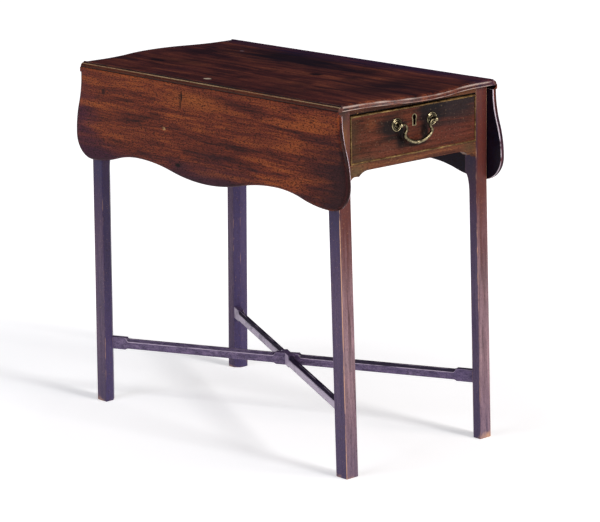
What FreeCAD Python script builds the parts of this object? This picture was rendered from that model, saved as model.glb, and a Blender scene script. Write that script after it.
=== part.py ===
import FreeCAD, Part
import math
import os
import re

import Sketcher
from FreeCAD import Placement, Rotation, Vector

# A drop-leaf occasional table with one end drawer, in millimetres. +Z is up and the floor is
# z = 0. The drawer end faces -Y, and the leaves hang on the -X (left) and +X (right) sides.
# Most pieces are drawn on the right, and their left-hand twins are mirror images of them.

sizes = {
    # whole table
    "table_height": 711,
    "board_thick": 12,
    "overrun": 5,
    # top board
    "joint_half_width": 198.3,
    "top_half_length": 381.5,
    "end_bow": 26.2,
    "bow_half_width": 162,
    "edge_round": 4.5,
    # rule joint between top and leaf
    "joint_fillet": 2,
    "hinge_plate_thick": 2,
    "joint_play": 0.5,
    "leaf_gap": 0.4,
    # leaf outline, drops measured down from the hinge pin
    "ear_flare": 21.5,
    "ear_radius": 49,
    "ear_drop": 188,
    "hollow_place": 205,
    "hollow_drop": 166,
    "belly_drop": 190,
    "flare_start": 10,
    # legs
    "leg_width": 29.5,
    "side_overhang": 4,
    "end_overhang": 14.2,
    "leg_splay": 12,
    "leg_chamfer": 10.5,
    "chamfer_stop": 50,
    "chamfer_runout": 42,
    # rails and their tenons
    "frieze_height": 120,
    "guide_thick": 3.5,
    "fly_thick": 11.5,
    "fly_inset": 2,
    "back_rail_thick": 20,
    "rail_inset": 0.5,
    "top_rail_thick": 12,
    "bottom_rail_thick": 14,
    "drawer_rail_width": 50,
    "tenon_length": 12,
    "tenon_thick": 8,
    "tenon_shoulder": 16,
    "tenon_edge": 6,
    "rail_tenon_width": 18,
    "rail_tenon_shoulder": 3,
    # fly bracket and its wooden knuckle
    "fly_length": 170,
    "fly_play": 2,
    "fly_top_play": 0.4,
    "finger_gap": 0.3,
    "knuckle_play": 1,
    "fly_pin_radius": 2.2,
    "running_play": 0.06,
    # crossed stretchers
    "stretcher_bottom": 111.5,
    "stretcher_height": 25,
    "stretcher_width": 13,
    "block_length": 31,
    "crossing_length": 48,
    "bar_top_relief": 2,
    "bar_under_relief": 2.5,
    "relief_run": 6,
    "bar_chamfer_width": 4,
    "bar_chamfer_height": 4.2,
    "stretcher_tenon_width": 7,
    "stretcher_tenon_height": 16,
    "stretcher_tenon_length": 10,
    # shaped brackets under the end rails
    "bracket_reach": 46,
    "bracket_height": 16.5,
    "bracket_thick": 14,
    "cusp_near": 12.5,
    "cusp_near_drop": 8.5,
    "cusp_far": 22,
    "cusp_far_drop": 9.5,
    # what the drawer runs on
    "runner_width": 20,
    "runner_thick": 10,
    "guide_height": 16,
    "stop_width": 40,
    "stop_depth": 20,
    "stop_thick": 3.5,
    "stop_place": 80,
    "stop_gap": 0.2,
    # drawer box
    "drawer_play": 0.7,
    "drawer_lift": 0.3,
    "front_lift": 0.6,
    "drawer_top_gap": 3,
    "drawer_length": 560,
    "front_thick": 20,
    "side_thick": 10,
    "drawer_back_thick": 10,
    "drawer_back_drop": 8,
    "bottom_thick": 6,
    "bottom_rise": 5,
    "groove_depth": 4,
    "lap_spare": 1,
    "bead_thick": 3,
    "bead_depth": 9,
    "bead_proud": 2,
    # handle, heights measured down from the drawer's upper edge
    "handle_drop": 30,
    "post_half_span": 46,
    "post_stand": 11,
    "post_radius": 2.5,
    "collar_radius": 4,
    "ball_radius": 5,
    "pivot_radius": 1.8,
    "pivot_tail": 4,
    "rose_radius": 13,
    "rose_rim": 1,
    "rose_band": 3.5,
    "rose_boss_radius": 6,
    "rose_thick": 2.2,
    "nut_width": 10,
    "nut_thick": 3.5,
    "bail_radius": 2.6,
    "bail_gap": 0.5,
    "neck_run": 5.5,
    "neck_radius": 7.5,
    "throat_radius": 9,
    "shoulder_radius": 7.5,
    # keyhole and lock
    "keyhole_drop": 21,
    "keyhole_head_radius": 4.5,
    "keyhole_slot_width": 6,
    "keyhole_length": 15,
    "escutcheon_wall": 1.8,
    "escutcheon_depth": 4,
    "lock_width": 56,
    "lock_height": 40,
    "lock_wall": 2,
    "bolt_width": 24,
    "bolt_thick": 4,
    "bolt_height": 24,
    "bolt_play": 0.3,
    "mortise_depth": 6,
    "mortise_room": 1,
    # rule-joint hinges
    "hinge_place": 250,
    "hinge_width": 38,
    "hinge_top_length": 34,
    "hinge_leaf_length": 60,
    "barrel_radius": 3.2,
    "barrel_room": 0.6,
    "barrel_gap": 0.3,
    "middle_barrel": 13,
    "hinge_pin_radius": 1.5,
    "crossing_room": 0.3,
    # screws and glue blocks
    "screw_radius": 1.7,
    "screw_head_radius": 3.4,
    "screw_head_height": 2,
    "hinge_screw_length": 8,
    "hinge_screw_offset": 11,
    "top_near_screw": 12,
    "top_far_screw": 26,
    "leaf_near_screw": 22,
    "leaf_far_screw": 48,
    "top_screw_length": 16,
    "rail_screw_place": 90,
    "kicker_front_screw": 150,
    "kicker_back_screw": 200,
    "glue_block_side": 18,
    "glue_block_length": 40,
    "glue_block_pitch": 90,
}

# Sizes that follow from the ones above.
worked_sizes = {
    "underside": "table_height - board_thick",
    "joint_radius": "board_thick - joint_fillet - hinge_plate_thick",
    "pin_height": "table_height - joint_fillet - joint_radius",
    "top_edge": "joint_half_width + joint_radius",
    "bow_radius": "(bow_half_width ^ 2 + end_bow ^ 2) / (4 * end_bow)",
    "leaf_out": "joint_half_width + joint_fillet + joint_radius",
    "leaf_in": "leaf_out - board_thick",
    "leaf_top": "pin_height - leaf_gap",
    "cove_radius": "joint_radius + joint_play",
    "ear_half_length": "top_half_length + ear_flare",
    "ear_low": "ear_half_length - ear_radius",
    "ear_side": "ear_drop - ear_radius",
    "flare_fall": "ear_side - flare_start",
    "flare_radius": "(flare_fall ^ 2 + ear_flare ^ 2) / (4 * ear_flare)",
    "swell": "ear_drop - hollow_drop",
    "swell_run": "ear_low - hollow_place",
    "swell_radius": "(swell_run ^ 2 + swell ^ 2) / (4 * swell)",
    "belly": "belly_drop - hollow_drop",
    "belly_radius": "(hollow_place ^ 2 + belly ^ 2) / (4 * belly)",
    "leg_reach_x": "joint_half_width - side_overhang",
    "leg_reach_y": "top_half_length - end_overhang",
    "leg_in_x": "leg_reach_x - leg_width",
    "leg_in_y": "leg_reach_y - leg_width",
    "leg_half_diagonal": "leg_width / sqrt(2)",
    "chamfer_plane": "leg_half_diagonal - leg_chamfer / sqrt(2)",
    "chamfer_bite": "leg_half_diagonal - chamfer_plane",
    "rail_bottom": "underside - frieze_height",
    "chamfer_top": "rail_bottom - chamfer_stop",
    "lean": "leg_splay / sqrt(2)",
    "runout_bite": "chamfer_bite + lean * chamfer_runout / chamfer_top",
    "runout_radius": "(runout_bite ^ 2 + chamfer_runout ^ 2) / (2 * runout_bite)",
    "fly_out": "leg_reach_x - fly_inset",
    "fly_in": "fly_out - fly_thick",
    "fly_middle": "fly_out - fly_thick / 2",
    "side_rail_in": "leg_in_x + guide_thick",
    "side_rail_thick": "fly_in - side_rail_in",
    "fly_pivot": "-fly_length / 2",
    "knuckle_shoulder": "fly_thick / 2 + knuckle_play",
    "rail_face": "leg_reach_y - rail_inset",
    "back_rail_in": "rail_face - back_rail_thick",
    "rail_back": "rail_face - drawer_rail_width",
    "drawer_floor": "rail_bottom + bottom_rail_thick",
    "drawer_ceiling": "underside - top_rail_thick",
    "stretcher_top": "stretcher_bottom + stretcher_height",
    "stretcher_middle": "stretcher_bottom + stretcher_height / 2",
    "foot_x": "leg_in_x + leg_chamfer / 2",
    "foot_y": "leg_in_y + leg_chamfer / 2 + leg_splay * (1 - stretcher_middle / chamfer_top)",
    "stretcher_reach": "sqrt(foot_x ^ 2 + foot_y ^ 2)",
    "stretcher_end": "stretcher_reach + stretcher_tenon_length",
    "bar_top": "stretcher_top - bar_top_relief",
    "bar_bottom": "stretcher_bottom + bar_under_relief",
    "block_start": "stretcher_reach - block_length",
    "top_relief_radius": "(relief_run ^ 2 + bar_top_relief ^ 2) / (2 * bar_top_relief)",
    "under_relief_radius": "(relief_run ^ 2 + bar_under_relief ^ 2) / (2 * bar_under_relief)",
    "bar_start": "crossing_length / 2 + relief_run",
    "bar_end": "block_start - relief_run",
    "far_cove_run": "bracket_reach - cusp_far",
    "far_cove": "(far_cove_run ^ 2 + cusp_far_drop ^ 2) / (2 * cusp_far_drop)",
    "near_cove_drop": "bracket_height - cusp_near_drop",
    "near_cove": "(cusp_near ^ 2 + near_cove_drop ^ 2) / (2 * near_cove_drop)",
    "drawer_half_width": "leg_in_x - drawer_play",
    "drawer_inside": "drawer_half_width - side_thick",
    "drawer_top": "drawer_ceiling - drawer_top_gap",
    "drawer_low": "drawer_floor + drawer_lift",
    "front_low": "drawer_floor + front_lift",
    "front_back": "rail_face - front_thick",
    "drawer_end": "drawer_length - rail_face",
    "lap_thick": "bead_depth - bead_proud + lap_spare",
    "tail_length": "front_thick - lap_thick",
    "lock_depth": "front_thick - lap_thick",
    "bottom_low": "drawer_low + bottom_rise",
    "bottom_high": "bottom_low + bottom_thick",
    "handle_height": "drawer_top - handle_drop",
    "pivot_stand": "rail_face + post_stand",
    "neck_end": "post_half_span - ball_radius - bail_gap",
    "neck_start": "neck_end - neck_run",
    "rose_dish_radius": "rose_radius - rose_band",
    "keyhole_height": "drawer_top - keyhole_drop",
    "lock_front": "front_back + lock_depth",
    "bolt_back": "front_back + lock_wall + bolt_play",
    "bolt_front": "bolt_back + bolt_thick",
    "middle_half": "middle_barrel / 2",
    "barrel_clear": "barrel_radius + barrel_room",
}

# Counts, angles in degrees, and shares of the sizes they follow.
knuckle_fingers = 5
drawer_tails = 3
tail_root_share = 0.27
tail_tip_share = 0.36
neck_turn = 55
shoulder_turn = 50

up = Vector(0, 0, 1)
across = Vector(1, 0, 0)
along = Vector(0, 1, 0)

doc = FreeCAD.newDocument("pembroke_table")
sheet = doc.addObject("Spreadsheet::Sheet", "Sizes")
for row, (alias, number) in enumerate(sizes.items(), start=1):
    sheet.set(f"A{row}", alias)
    sheet.set(f"B{row}", str(number))
    sheet.setAlias(f"B{row}", alias)
doc.recompute()
worked = doc.addObject("App::VarSet", "Worked")
nodes = []


# Writing sizes into the document

def formula(text):
    """Names in the text become references to the sheet or to the worked-out sizes."""
    def reference(match):
        name = match.group(0)
        if name in sizes:
            return "Sizes." + name
        if name in worked_sizes:
            return "Worked." + name
        return name
    return re.sub(r"[a-z_]+", reference, text)


for name, text in worked_sizes.items():
    worked.addProperty("App::PropertyFloat", name)
    worked.setExpression(name, formula(text))
reader = doc.addObject("App::VarSet", "Reader")
reader.addProperty("App::PropertyFloat", "reading")
readings = {}
doc.recompute()


def measure(text):
    """The number, in millimetres, that a formula gives."""
    if text not in readings:
        reader.setExpression("reading", formula(text))
        reader.recompute()
        readings[text] = reader.reading
    return readings[text]


def bind(piece, **formulas):
    for path, text in formulas.items():
        piece.setExpression(path.replace("__", "."), formula(text))


def keep(piece, label):
    """Marks a finished sub-part and gives it its name."""
    piece.Label = label
    nodes.append(piece)
    return piece


# Sketches and solids

def arc_between(start, end, radius, large):
    """An arc from start to end: a positive radius turns left, a negative one right."""
    chord = end - start
    half = chord.Length / 2
    rise = math.sqrt(max(radius * radius - half * half, 0))
    side = Vector(-chord.y, chord.x, 0).normalize()
    if (radius < 0) != large:
        side = side * -1
    centre = (start + end) * (1 / 2) + side * rise
    first, last = (start, end) if radius > 0 else (end, start)
    angles = [math.atan2(point.y - centre.y, point.x - centre.x) for point in (first, last)]
    return Part.ArcOfCircle(Part.Circle(centre, up, abs(radius)), *angles)


def outline(drawing, corners):
    """A closed outline. Each corner is x, y and, where an arc leaves it, that arc's radius."""
    points = [Vector(measure(corner[0]), measure(corner[1]), 0) for corner in corners]
    shapes, starts, ends = [], [], []
    for place, corner in enumerate(corners):
        start, end = points[place], points[(place + 1) % len(points)]
        turned = False
        if len(corner) > 2:
            radius = measure(corner[2])
            turned = radius < 0
            shapes.append(arc_between(start, end, radius, "large" in corner))
        else:
            shapes.append(Part.LineSegment(start, end))
        starts.append(2 if turned else 1)
        ends.append(1 if turned else 2)
    first = drawing.addGeometry(shapes, False)[0]
    rules, texts = [], []
    for place, corner in enumerate(corners):
        line = first + place
        following = (place + 1) % len(corners)
        rules.append(Sketcher.Constraint("Coincident", line, ends[place], first + following, starts[following]))
        texts.append(None)
        for kind, text in (("DistanceX", corner[0]), ("DistanceY", corner[1])):
            rules.append(Sketcher.Constraint(kind, -1, 1, line, starts[place], measure(text)))
            texts.append(text)
        if len(corner) > 2:
            rules.append(Sketcher.Constraint("Radius", line, abs(measure(corner[2]))))
            texts.append(f"abs({corner[2]})")
    numbers = drawing.addConstraint(rules)
    for number, text in zip(numbers, texts):
        if text:
            drawing.setExpression(f"Constraints[{number}]", formula(text))


def mirrored_x(corners):
    """The same outline on the other side of the sketch's vertical axis."""
    return [(f"-({corner[0]})", corner[1], *[f"-({text})" for text in corner[2:3]], *corner[3:])
            for corner in corners]


def both_halves(half):
    """An open right-hand half, from first to last corner, joined to its mirror image."""
    bends = [corner[2:] for corner in half]
    left = [(f"-({corner[0]})", corner[1]) for corner in reversed(half)]
    back = [(*corner, *bend) for corner, bend in zip(left, list(reversed(bends[:-1])) + [()])]
    return half + back


def plane_of(body, role):
    return next(feature for feature in body.Origin.OriginFeatures if feature.Role == role)


def sketch(body, name, role, outlines, offset="0"):
    drawing = body.newObject("Sketcher::SketchObject", name)
    drawing.AttachmentSupport = [(plane_of(body, role), "")]
    drawing.MapMode = "FlatFace"
    drawing.setExpression("AttachmentOffset.Base.z", formula(offset))
    for corners in outlines:
        outline(drawing, corners)
    return drawing


def feature(kind, body, profile, length, symmetric=False, backwards=False):
    piece = body.newObject("PartDesign::" + kind, kind.lower())
    piece.Profile = profile
    piece.SideType = "Symmetric" if symmetric else "One side"
    piece.Reversed = backwards
    bind(piece, Length=length)
    return piece


def prism(label, role, corners, length, offset="0", symmetric=False, backwards=False):
    """A body padded from one outline on an origin plane, or on a plane offset from it."""
    body = doc.addObject("PartDesign::Body", label)
    profile = sketch(body, label + "_outline", role, [corners], offset)
    feature("Pad", body, profile, length, symmetric, backwards)
    return body


def block(label, x, y, z):
    """A box given by the low and high ends of its three sides."""
    piece = doc.addObject("Part::Box", label)
    for side, letter, (low, high) in zip(("Length", "Width", "Height"), "xyz", (x, y, z)):
        piece.setExpression(side, formula(f"({high}) - ({low})"))
        piece.setExpression("Placement.Base." + letter, formula(low))
    return piece


def rod(label, axis, radius, length, x="0", y="0", z="0"):
    """A cylinder that starts at the given point and runs along an axis."""
    piece = doc.addObject("Part::Cylinder", label)
    piece.Placement = Placement(Vector(), Rotation(up, axis))
    bind(piece, Radius=radius, Height=length, Placement__Base__x=x, Placement__Base__y=y,
         Placement__Base__z=z)
    return piece


def fuse(label, pieces):
    piece = doc.addObject("Part::MultiFuse", label)
    piece.Shapes = pieces
    return piece


def cut(label, base, tools):
    piece = doc.addObject("Part::Cut", label)
    piece.Base = base
    piece.Tool = tools[0] if len(tools) == 1 else fuse(label + "_tools", tools)
    return piece


def mirror(piece, label, normal=across):
    twin = doc.addObject("Part::Mirroring", label)
    twin.Source = piece
    twin.Normal = normal
    return twin


def group(label, pattern, places):
    """Separate copies of one solid, each at its own placement, kept as one node."""
    doc.recompute()
    copies = []
    for place in places:
        solid = pattern.Shape.copy()
        solid.Placement = place.multiply(solid.Placement)
        copies.append(solid)
    piece = doc.addObject("Part::Feature", label)
    piece.Shape = Part.makeCompound(copies)
    return piece


def at(x, y, z, turn=Rotation()):
    return Placement(Vector(measure(x), measure(y), measure(z)), turn)


def keep_pair(piece, name):
    """Keeps a right-hand piece and its left-hand mirror image."""
    keep(piece, name.replace("SIDE", "right"))
    keep(mirror(piece, name.replace("SIDE", "left_twin")), name.replace("SIDE", "left"))


def edges_where(shape, test):
    """Names of the edges whose two ends and middle all pass a test."""
    chosen = []
    for number, edge in enumerate(shape.Edges, start=1):
        middle = edge.valueAt((edge.FirstParameter + edge.LastParameter) / 2)
        if all(test(point) for point in [vertex.Point for vertex in edge.Vertexes] + [middle]):
            chosen.append(f"Edge{number}")
    return chosen


def round_edges(body, base, radius, test):
    doc.recompute()
    piece = body.newObject("PartDesign::Fillet", "fillet")
    piece.Base = (base, edges_where(base.Shape, test))
    bind(piece, Radius=radius)
    return piece


tiny = 0.001
close_to = lambda first, second: abs(first - second) < tiny


# Screws: a countersunk head at z = 0 and a plain shank running up

def screw(label, length):
    head = doc.addObject("Part::Cone", label + "_head")
    bind(head, Radius1="screw_head_radius", Radius2="screw_radius", Height="screw_head_height")
    shank = rod(label + "_shank", up, "screw_radius", length)
    return fuse(label, [head, shank])


hinge_screw = screw("hinge_screw", "hinge_screw_length")
top_screw = screw("top_screw", "top_screw_length")


# Tenons, each used to shape its rail and to cut its mortise

tenon_x = ("side_rail_in + (side_rail_thick - tenon_thick) / 2", "fly_in - (side_rail_thick - tenon_thick) / 2")
tenon_z = ("rail_bottom + tenon_shoulder", "underside - tenon_shoulder")
end_tenon_x = ("leg_in_x", "leg_in_x + tenon_length")
back_tenon_y = ("rail_face - (back_rail_thick + tenon_thick) / 2", "rail_face - (back_rail_thick - tenon_thick) / 2")
front_tenon_y = ("-leg_reach_y + tenon_edge", "-leg_reach_y + tenon_edge + rail_tenon_width")
side_tenons = {
    "front": block("side_tenon_front", tenon_x, ("-leg_in_y - tenon_length", "-leg_in_y"), tenon_z),
    "back": block("side_tenon_back", tenon_x, ("leg_in_y", "leg_in_y + tenon_length"), tenon_z),
}
back_tenon = block("back_tenon", end_tenon_x, back_tenon_y, tenon_z)
low_tenon_z = ("rail_bottom + rail_tenon_shoulder", "drawer_floor - rail_tenon_shoulder")
low_tenon = block("low_tenon", end_tenon_x, front_tenon_y, low_tenon_z)
high_tenon = block("high_tenon", end_tenon_x, front_tenon_y, ("drawer_ceiling", "underside"))


# Legs: square and upright at the frieze, then splayed a little along the table's length. The
# inside corner is chamfered up to a curved stop where the splay begins.

def leg_blank(label, y, turn, out, back):
    """A leg whose foot is set off its head, to the sides that out and back say in its own axes."""
    half = "leg_half_diagonal"
    body = doc.addObject("PartDesign::Body", label)
    foot = sketch(body, label + "_foot", "XY_Plane", [[
        (f"{half} - lean", f"0 {out} lean"),
        ("-lean", f"{half} {out} lean"),
        (f"-{half} - lean", f"0 {out} lean"),
        ("-lean", f"-{half} {out} lean"),
    ]])
    shaft = feature("Pad", body, foot, "chamfer_top")
    shaft.UseCustomVector = True
    shaft.AlongSketchNormal = True
    bind(shaft, Direction__x="lean", Direction__y=f"0 {back} lean", Direction__z="chamfer_top")
    head = sketch(body, label + "_head", "XY_Plane",
                  [[(half, "0"), ("0", half), (f"-{half}", "0"), ("0", f"-{half}")]], "chamfer_top")
    feature("Pad", body, head, "underside - chamfer_top")
    chamfer = sketch(body, label + "_chamfer", "XZ_Plane", [[
        ("chamfer_plane - lean * (1 + overrun / chamfer_top)", "-overrun"),
        ("leg_half_diagonal + overrun", "-overrun"),
        ("leg_half_diagonal + overrun", "chamfer_top"),
        ("leg_half_diagonal", "chamfer_top", "runout_radius"),
        ("leg_half_diagonal - runout_bite", "chamfer_top - chamfer_runout"),
    ]])
    feature("Pocket", body, chamfer, "2 * (leg_width + leg_splay)", symmetric=True)
    body.Placement = Placement(Vector(), Rotation(up, turn))
    bind(body, Placement__Base__x="leg_reach_x - leg_width / 2", Placement__Base__y=y)
    return body


front_blank = leg_blank("leg_front_blank", "leg_width / 2 - leg_reach_y", 135, "+", "-")
back_blank = leg_blank("leg_back_blank", "leg_reach_y - leg_width / 2", 225, "-", "+")


# Crossed stretchers: square blocks at the legs and the crossing, relieved and chamfered between

def stretcher_half(level, relieved, bend):
    return [
        ("stretcher_end", level),
        ("block_start", level, bend),
        ("bar_end", relieved),
        ("bar_start", relieved, bend),
        ("crossing_length / 2", level),
    ]


upper_half = stretcher_half("stretcher_top", "bar_top", "top_relief_radius")
upper_half[1] = ("block_start", "stretcher_top", "-top_relief_radius")
upper_half[3] = ("bar_start", "bar_top", "-top_relief_radius")
lower_half = stretcher_half("stretcher_bottom", "bar_bottom", "under_relief_radius")
upper = both_halves(upper_half)
lower = both_halves(lower_half)
elevation = upper + [(f"-({corner[0]})", corner[1], *corner[2:]) for corner in lower]


def chamfer_corner(side):
    edge = f"{side}stretcher_width / 2"
    return [
        (f"{side}(stretcher_width / 2 - bar_chamfer_width)", "bar_top"),
        (edge, "bar_top - bar_chamfer_height"),
        (f"{side}(stretcher_width / 2 + overrun)", "bar_top - bar_chamfer_height"),
        (f"{side}(stretcher_width / 2 + overrun)", "bar_top + overrun"),
        (f"{side}(stretcher_width / 2 - bar_chamfer_width)", "bar_top + overrun"),
    ]


def stretcher_bar(label, turn):
    body = doc.addObject("PartDesign::Body", label)
    feature("Pad", body, sketch(body, label + "_side", "XZ_Plane", [elevation]), "stretcher_width", symmetric=True)
    for name, start, backwards in (("out", "bar_start", True), ("in", "-bar_start", False)):
        corners = [chamfer_corner(""), chamfer_corner("-")]
        section = sketch(body, f"{label}_{name}", "YZ_Plane", corners, start)
        feature("Pocket", body, section, "bar_end - bar_start", backwards=backwards)
    body.Placement = Placement(Vector(), turn)
    return body


def turned_block(label, turn, x, y, z):
    piece = block(label, x, y, z)
    low = Vector(measure(x[0]), measure(y[0]), measure(z[0]))
    for letter in "xyz":
        piece.setExpression("Placement.Base." + letter, None)
    piece.Placement = Placement(turn.multVec(low), turn)
    return piece


slant = math.degrees(math.atan2(measure("foot_y"), measure("foot_x")))
turns = {"rising": Rotation(up, slant), "falling": Rotation(up, 180 - slant)}
half_width = ("-stretcher_width / 2", "stretcher_width / 2")
lap_x = ("-crossing_length / 2", "crossing_length / 2")
tenon_half = ("-stretcher_tenon_width / 2", "stretcher_tenon_width / 2")
tenon_level = ("stretcher_middle - stretcher_tenon_height / 2", "stretcher_middle + stretcher_tenon_height / 2")
stretcher_tenons = {
    name: turned_block(f"tenon_bar_{name}", turn, ("-stretcher_end", "stretcher_end"), tenon_half, tenon_level)
    for name, turn in turns.items()}
laps = {
    "rising": turned_block("lap_upper", turns["falling"], lap_x, half_width,
                           ("stretcher_middle", "stretcher_top + overrun")),
    "falling": turned_block("lap_lower", turns["rising"], lap_x, half_width,
                            ("stretcher_bottom - overrun", "stretcher_middle")),
}
blanks = {"front": front_blank, "back": back_blank}
ends = {"rising": "back", "falling": "front"}
other_end = {"rising": "front", "falling": "back"}
for name, turn in turns.items():
    bar = stretcher_bar(f"bar_{name}", turn)
    far_leg = mirror(blanks[other_end[name]], f"far_leg_{name}")
    shouldered = cut(f"shouldered_{name}", bar, [blanks[ends[name]], far_leg])
    tenoned = fuse(f"tenoned_{name}", [shouldered, stretcher_tenons[name]])
    keep(cut(f"lapped_{name}", tenoned, [laps[name]]), f"stretcher_{name}")


# Finished legs, with a mortise for each tenon

mortises = {
    "front": [side_tenons["front"], low_tenon, high_tenon, stretcher_tenons["falling"]],
    "back": [side_tenons["back"], back_tenon, stretcher_tenons["rising"]],
}
for end, blank in blanks.items():
    keep_pair(cut(f"leg_{end}_cut", blank, mortises[end]), f"leg_{end}_SIDE")


# Rails of the frame

side_rail = block("side_rail_body", ("side_rail_in", "fly_in"), ("-leg_in_y", "leg_in_y"), ("rail_bottom", "underside"))
keep_pair(fuse("side_rail_tenoned", [side_rail, *side_tenons.values()]), "side_rail_SIDE")

between_legs = ("-leg_in_x", "leg_in_x")
rail_y = ("-rail_face", "-rail_back")
back_board = block("back_board", between_legs, ("back_rail_in", "rail_face"), ("rail_bottom", "underside"))
keep(fuse("back_rail_tenoned", [back_board, back_tenon, mirror(back_tenon, "back_tenon_left")]), "back_rail")
low_board = block("low_board", between_legs, rail_y, ("rail_bottom", "drawer_floor"))
keep(fuse("low_rail_tenoned", [low_board, low_tenon, mirror(low_tenon, "low_tenon_left")]), "drawer_bottom_rail")
high_board = block("high_board", between_legs, rail_y, ("drawer_ceiling", "underside"))
high_rail = fuse("high_rail_tenoned", [high_board, high_tenon, mirror(high_tenon, "high_tenon_left")])
bolt_mortise = block("bolt_mortise", ("-bolt_width / 2 - mortise_room", "bolt_width / 2 + mortise_room"),
                     ("-bolt_front - mortise_room", "mortise_room - bolt_back"),
                     ("drawer_ceiling", "drawer_ceiling + mortise_depth"))
rail_screws = [at(f"{side}rail_screw_place", "-(rail_face + rail_back) / 2", "drawer_ceiling") for side in ("", "-")]
kicker_x = ("side_rail_in - runner_width", "side_rail_in")
kicker_screws = [at(f"{side}(side_rail_in - runner_width / 2)", y, "drawer_ceiling")
                 for side in ("", "-") for y in ("-kicker_front_screw", "kicker_back_screw")]
top_screws = group("top_screw_group", top_screw, rail_screws + kicker_screws)
keep(cut("high_rail_cut", high_rail, [bolt_mortise, top_screws]), "drawer_top_rail")


# Shaped brackets under the end rails, each with two coves and a cusp between

bracket = prism("bracket_body", "XZ_Plane", [
    ("leg_in_x", "rail_bottom"),
    ("leg_in_x - bracket_reach", "rail_bottom", "-far_cove"),
    ("leg_in_x - cusp_far", "rail_bottom - cusp_far_drop"),
    ("leg_in_x - cusp_near", "rail_bottom - cusp_near_drop", "-near_cove"),
    ("leg_in_x", "rail_bottom - bracket_height"),
], "bracket_thick", "rail_face", backwards=True)
keep_pair(bracket, "corner_bracket_front_SIDE")
keep_pair(mirror(bracket, "bracket_back_body", along), "corner_bracket_back_SIDE")


# Fly rails and the hinged bracket that props a raised leaf

def knuckle_levels(odd, gap):
    """Boxes that clear every other finger level round the bracket's pin."""
    step = f"frieze_height / {knuckle_fingers}"
    reach = ("fly_pivot - knuckle_shoulder", "fly_pivot + knuckle_shoulder")
    return [block(f"knuckle_{level}", ("fly_in - overrun", "fly_out + overrun"), reach,
                  (f"rail_bottom + {level} * {step} - {gap}", f"rail_bottom + {level + 1} * {step} + {gap}"))
            for level in range(knuckle_fingers) if level % 2 == odd]


fly_front = prism("fly_front_body", "XY_Plane", [
    ("fly_in", "-leg_in_y"),
    ("fly_out", "-leg_in_y"),
    ("fly_out", "fly_pivot", "fly_thick / 2"),
    ("fly_middle", "fly_pivot + fly_thick / 2", "fly_thick / 2"),
    ("fly_in", "fly_pivot"),
], "frieze_height", "rail_bottom")
fly_arm = prism("fly_arm_body", "XY_Plane", [
    ("fly_out", "fly_pivot + fly_length"),
    ("fly_in", "fly_pivot + fly_length"),
    ("fly_in", "fly_pivot", "fly_thick / 2"),
    ("fly_middle", "fly_pivot - fly_thick / 2", "fly_thick / 2"),
    ("fly_out", "fly_pivot"),
], "frieze_height - 2 * fly_top_play", "rail_bottom + fly_top_play")
fly_pin = rod("fly_pin_body", up, "fly_pin_radius", "frieze_height", "fly_middle", "fly_pivot", "rail_bottom")
fly_bore = rod("fly_bore", up, "fly_pin_radius + running_play", "frieze_height", "fly_middle", "fly_pivot", "rail_bottom")
keep_pair(cut("fly_front_cut", fly_front, knuckle_levels(1, "0") + [fly_pin]), "fly_rail_front_SIDE")
keep_pair(cut("fly_arm_cut", fly_arm, knuckle_levels(0, "finger_gap") + [fly_bore]), "fly_bracket_SIDE")
keep_pair(fly_pin, "fly_pin_SIDE")
keep_pair(block("fly_back_body", ("fly_in", "fly_out"), ("fly_pivot + fly_length + fly_play", "leg_in_y"),
                ("rail_bottom", "underside")), "fly_rail_back_SIDE")


# Runners, guides, kickers and stops for the drawer

run_y = ("-rail_back", "leg_in_y")
keep_pair(block("runner_body", kicker_x, run_y, ("drawer_floor - runner_thick", "drawer_floor")), "drawer_runner_SIDE")
keep_pair(block("guide_body", ("leg_in_x", "side_rail_in"), run_y, ("drawer_floor", "drawer_floor + guide_height")),
          "drawer_guide_SIDE")
kicker = block("kicker_body", kicker_x, run_y, ("drawer_ceiling", "underside"))
keep_pair(cut("kicker_cut", kicker, [top_screws]), "drawer_kicker_SIDE")
stop = block("stop_pattern", ("-stop_width / 2", "stop_width / 2"), ("0", "stop_depth"), ("0", "stop_thick"))
keep(group("stop_group", stop, [at(f"{side}stop_place", "stop_gap - front_back", "drawer_floor") for side in ("", "-")]),
     "drawer_stops")
glue_block = block("glue_block_pattern", ("-glue_block_length / 2", "glue_block_length / 2"),
                   ("-glue_block_side", "0"), ("-glue_block_side", "0"))
keep(group("glue_block_group", glue_block, [at(f"{step} * glue_block_pitch", "back_rail_in", "underside")
                                            for step in (-1, 0, 1)]), "glue_blocks")


# Rule-joint hinges, drawn at y = 0 with the leaf hanging

barrel_y = "-hinge_width / 2"
barrel = rod("hinge_barrel", along, "barrel_radius", "hinge_width", "joint_half_width", barrel_y, "pin_height")
middle = rod("hinge_middle", along, "barrel_radius", "middle_barrel", "joint_half_width", "-middle_half", "pin_height")
pin = rod("hinge_pin", along, "hinge_pin_radius", "hinge_width", "joint_half_width", barrel_y, "pin_height")
pin_bore = rod("hinge_pin_bore", along, "hinge_pin_radius + running_play", "hinge_width", "joint_half_width", barrel_y,
               "pin_height")
hinge_y = ("-hinge_width / 2", "hinge_width / 2")
barrel_x = ("joint_half_width - barrel_clear", "joint_half_width + barrel_clear")
barrel_z = ("pin_height - barrel_clear", "pin_height + barrel_clear")
top_flap = block("top_flap", ("joint_half_width - hinge_top_length", "joint_half_width"), hinge_y, ("underside", "pin_height"))
leaf_flap = block("leaf_flap", ("leaf_in", "joint_half_width"), hinge_y, ("pin_height - hinge_leaf_length", "pin_height"))
middle_room = block("middle_room", barrel_x, ("-middle_half - barrel_gap", "middle_half + barrel_gap"), barrel_z)
outer_room = [block(f"outer_room_{end}", barrel_x, y, barrel_z)
              for end, y in (("front", ("-hinge_width / 2", "-middle_half")), ("back", ("middle_half", "hinge_width / 2")))]
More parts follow.
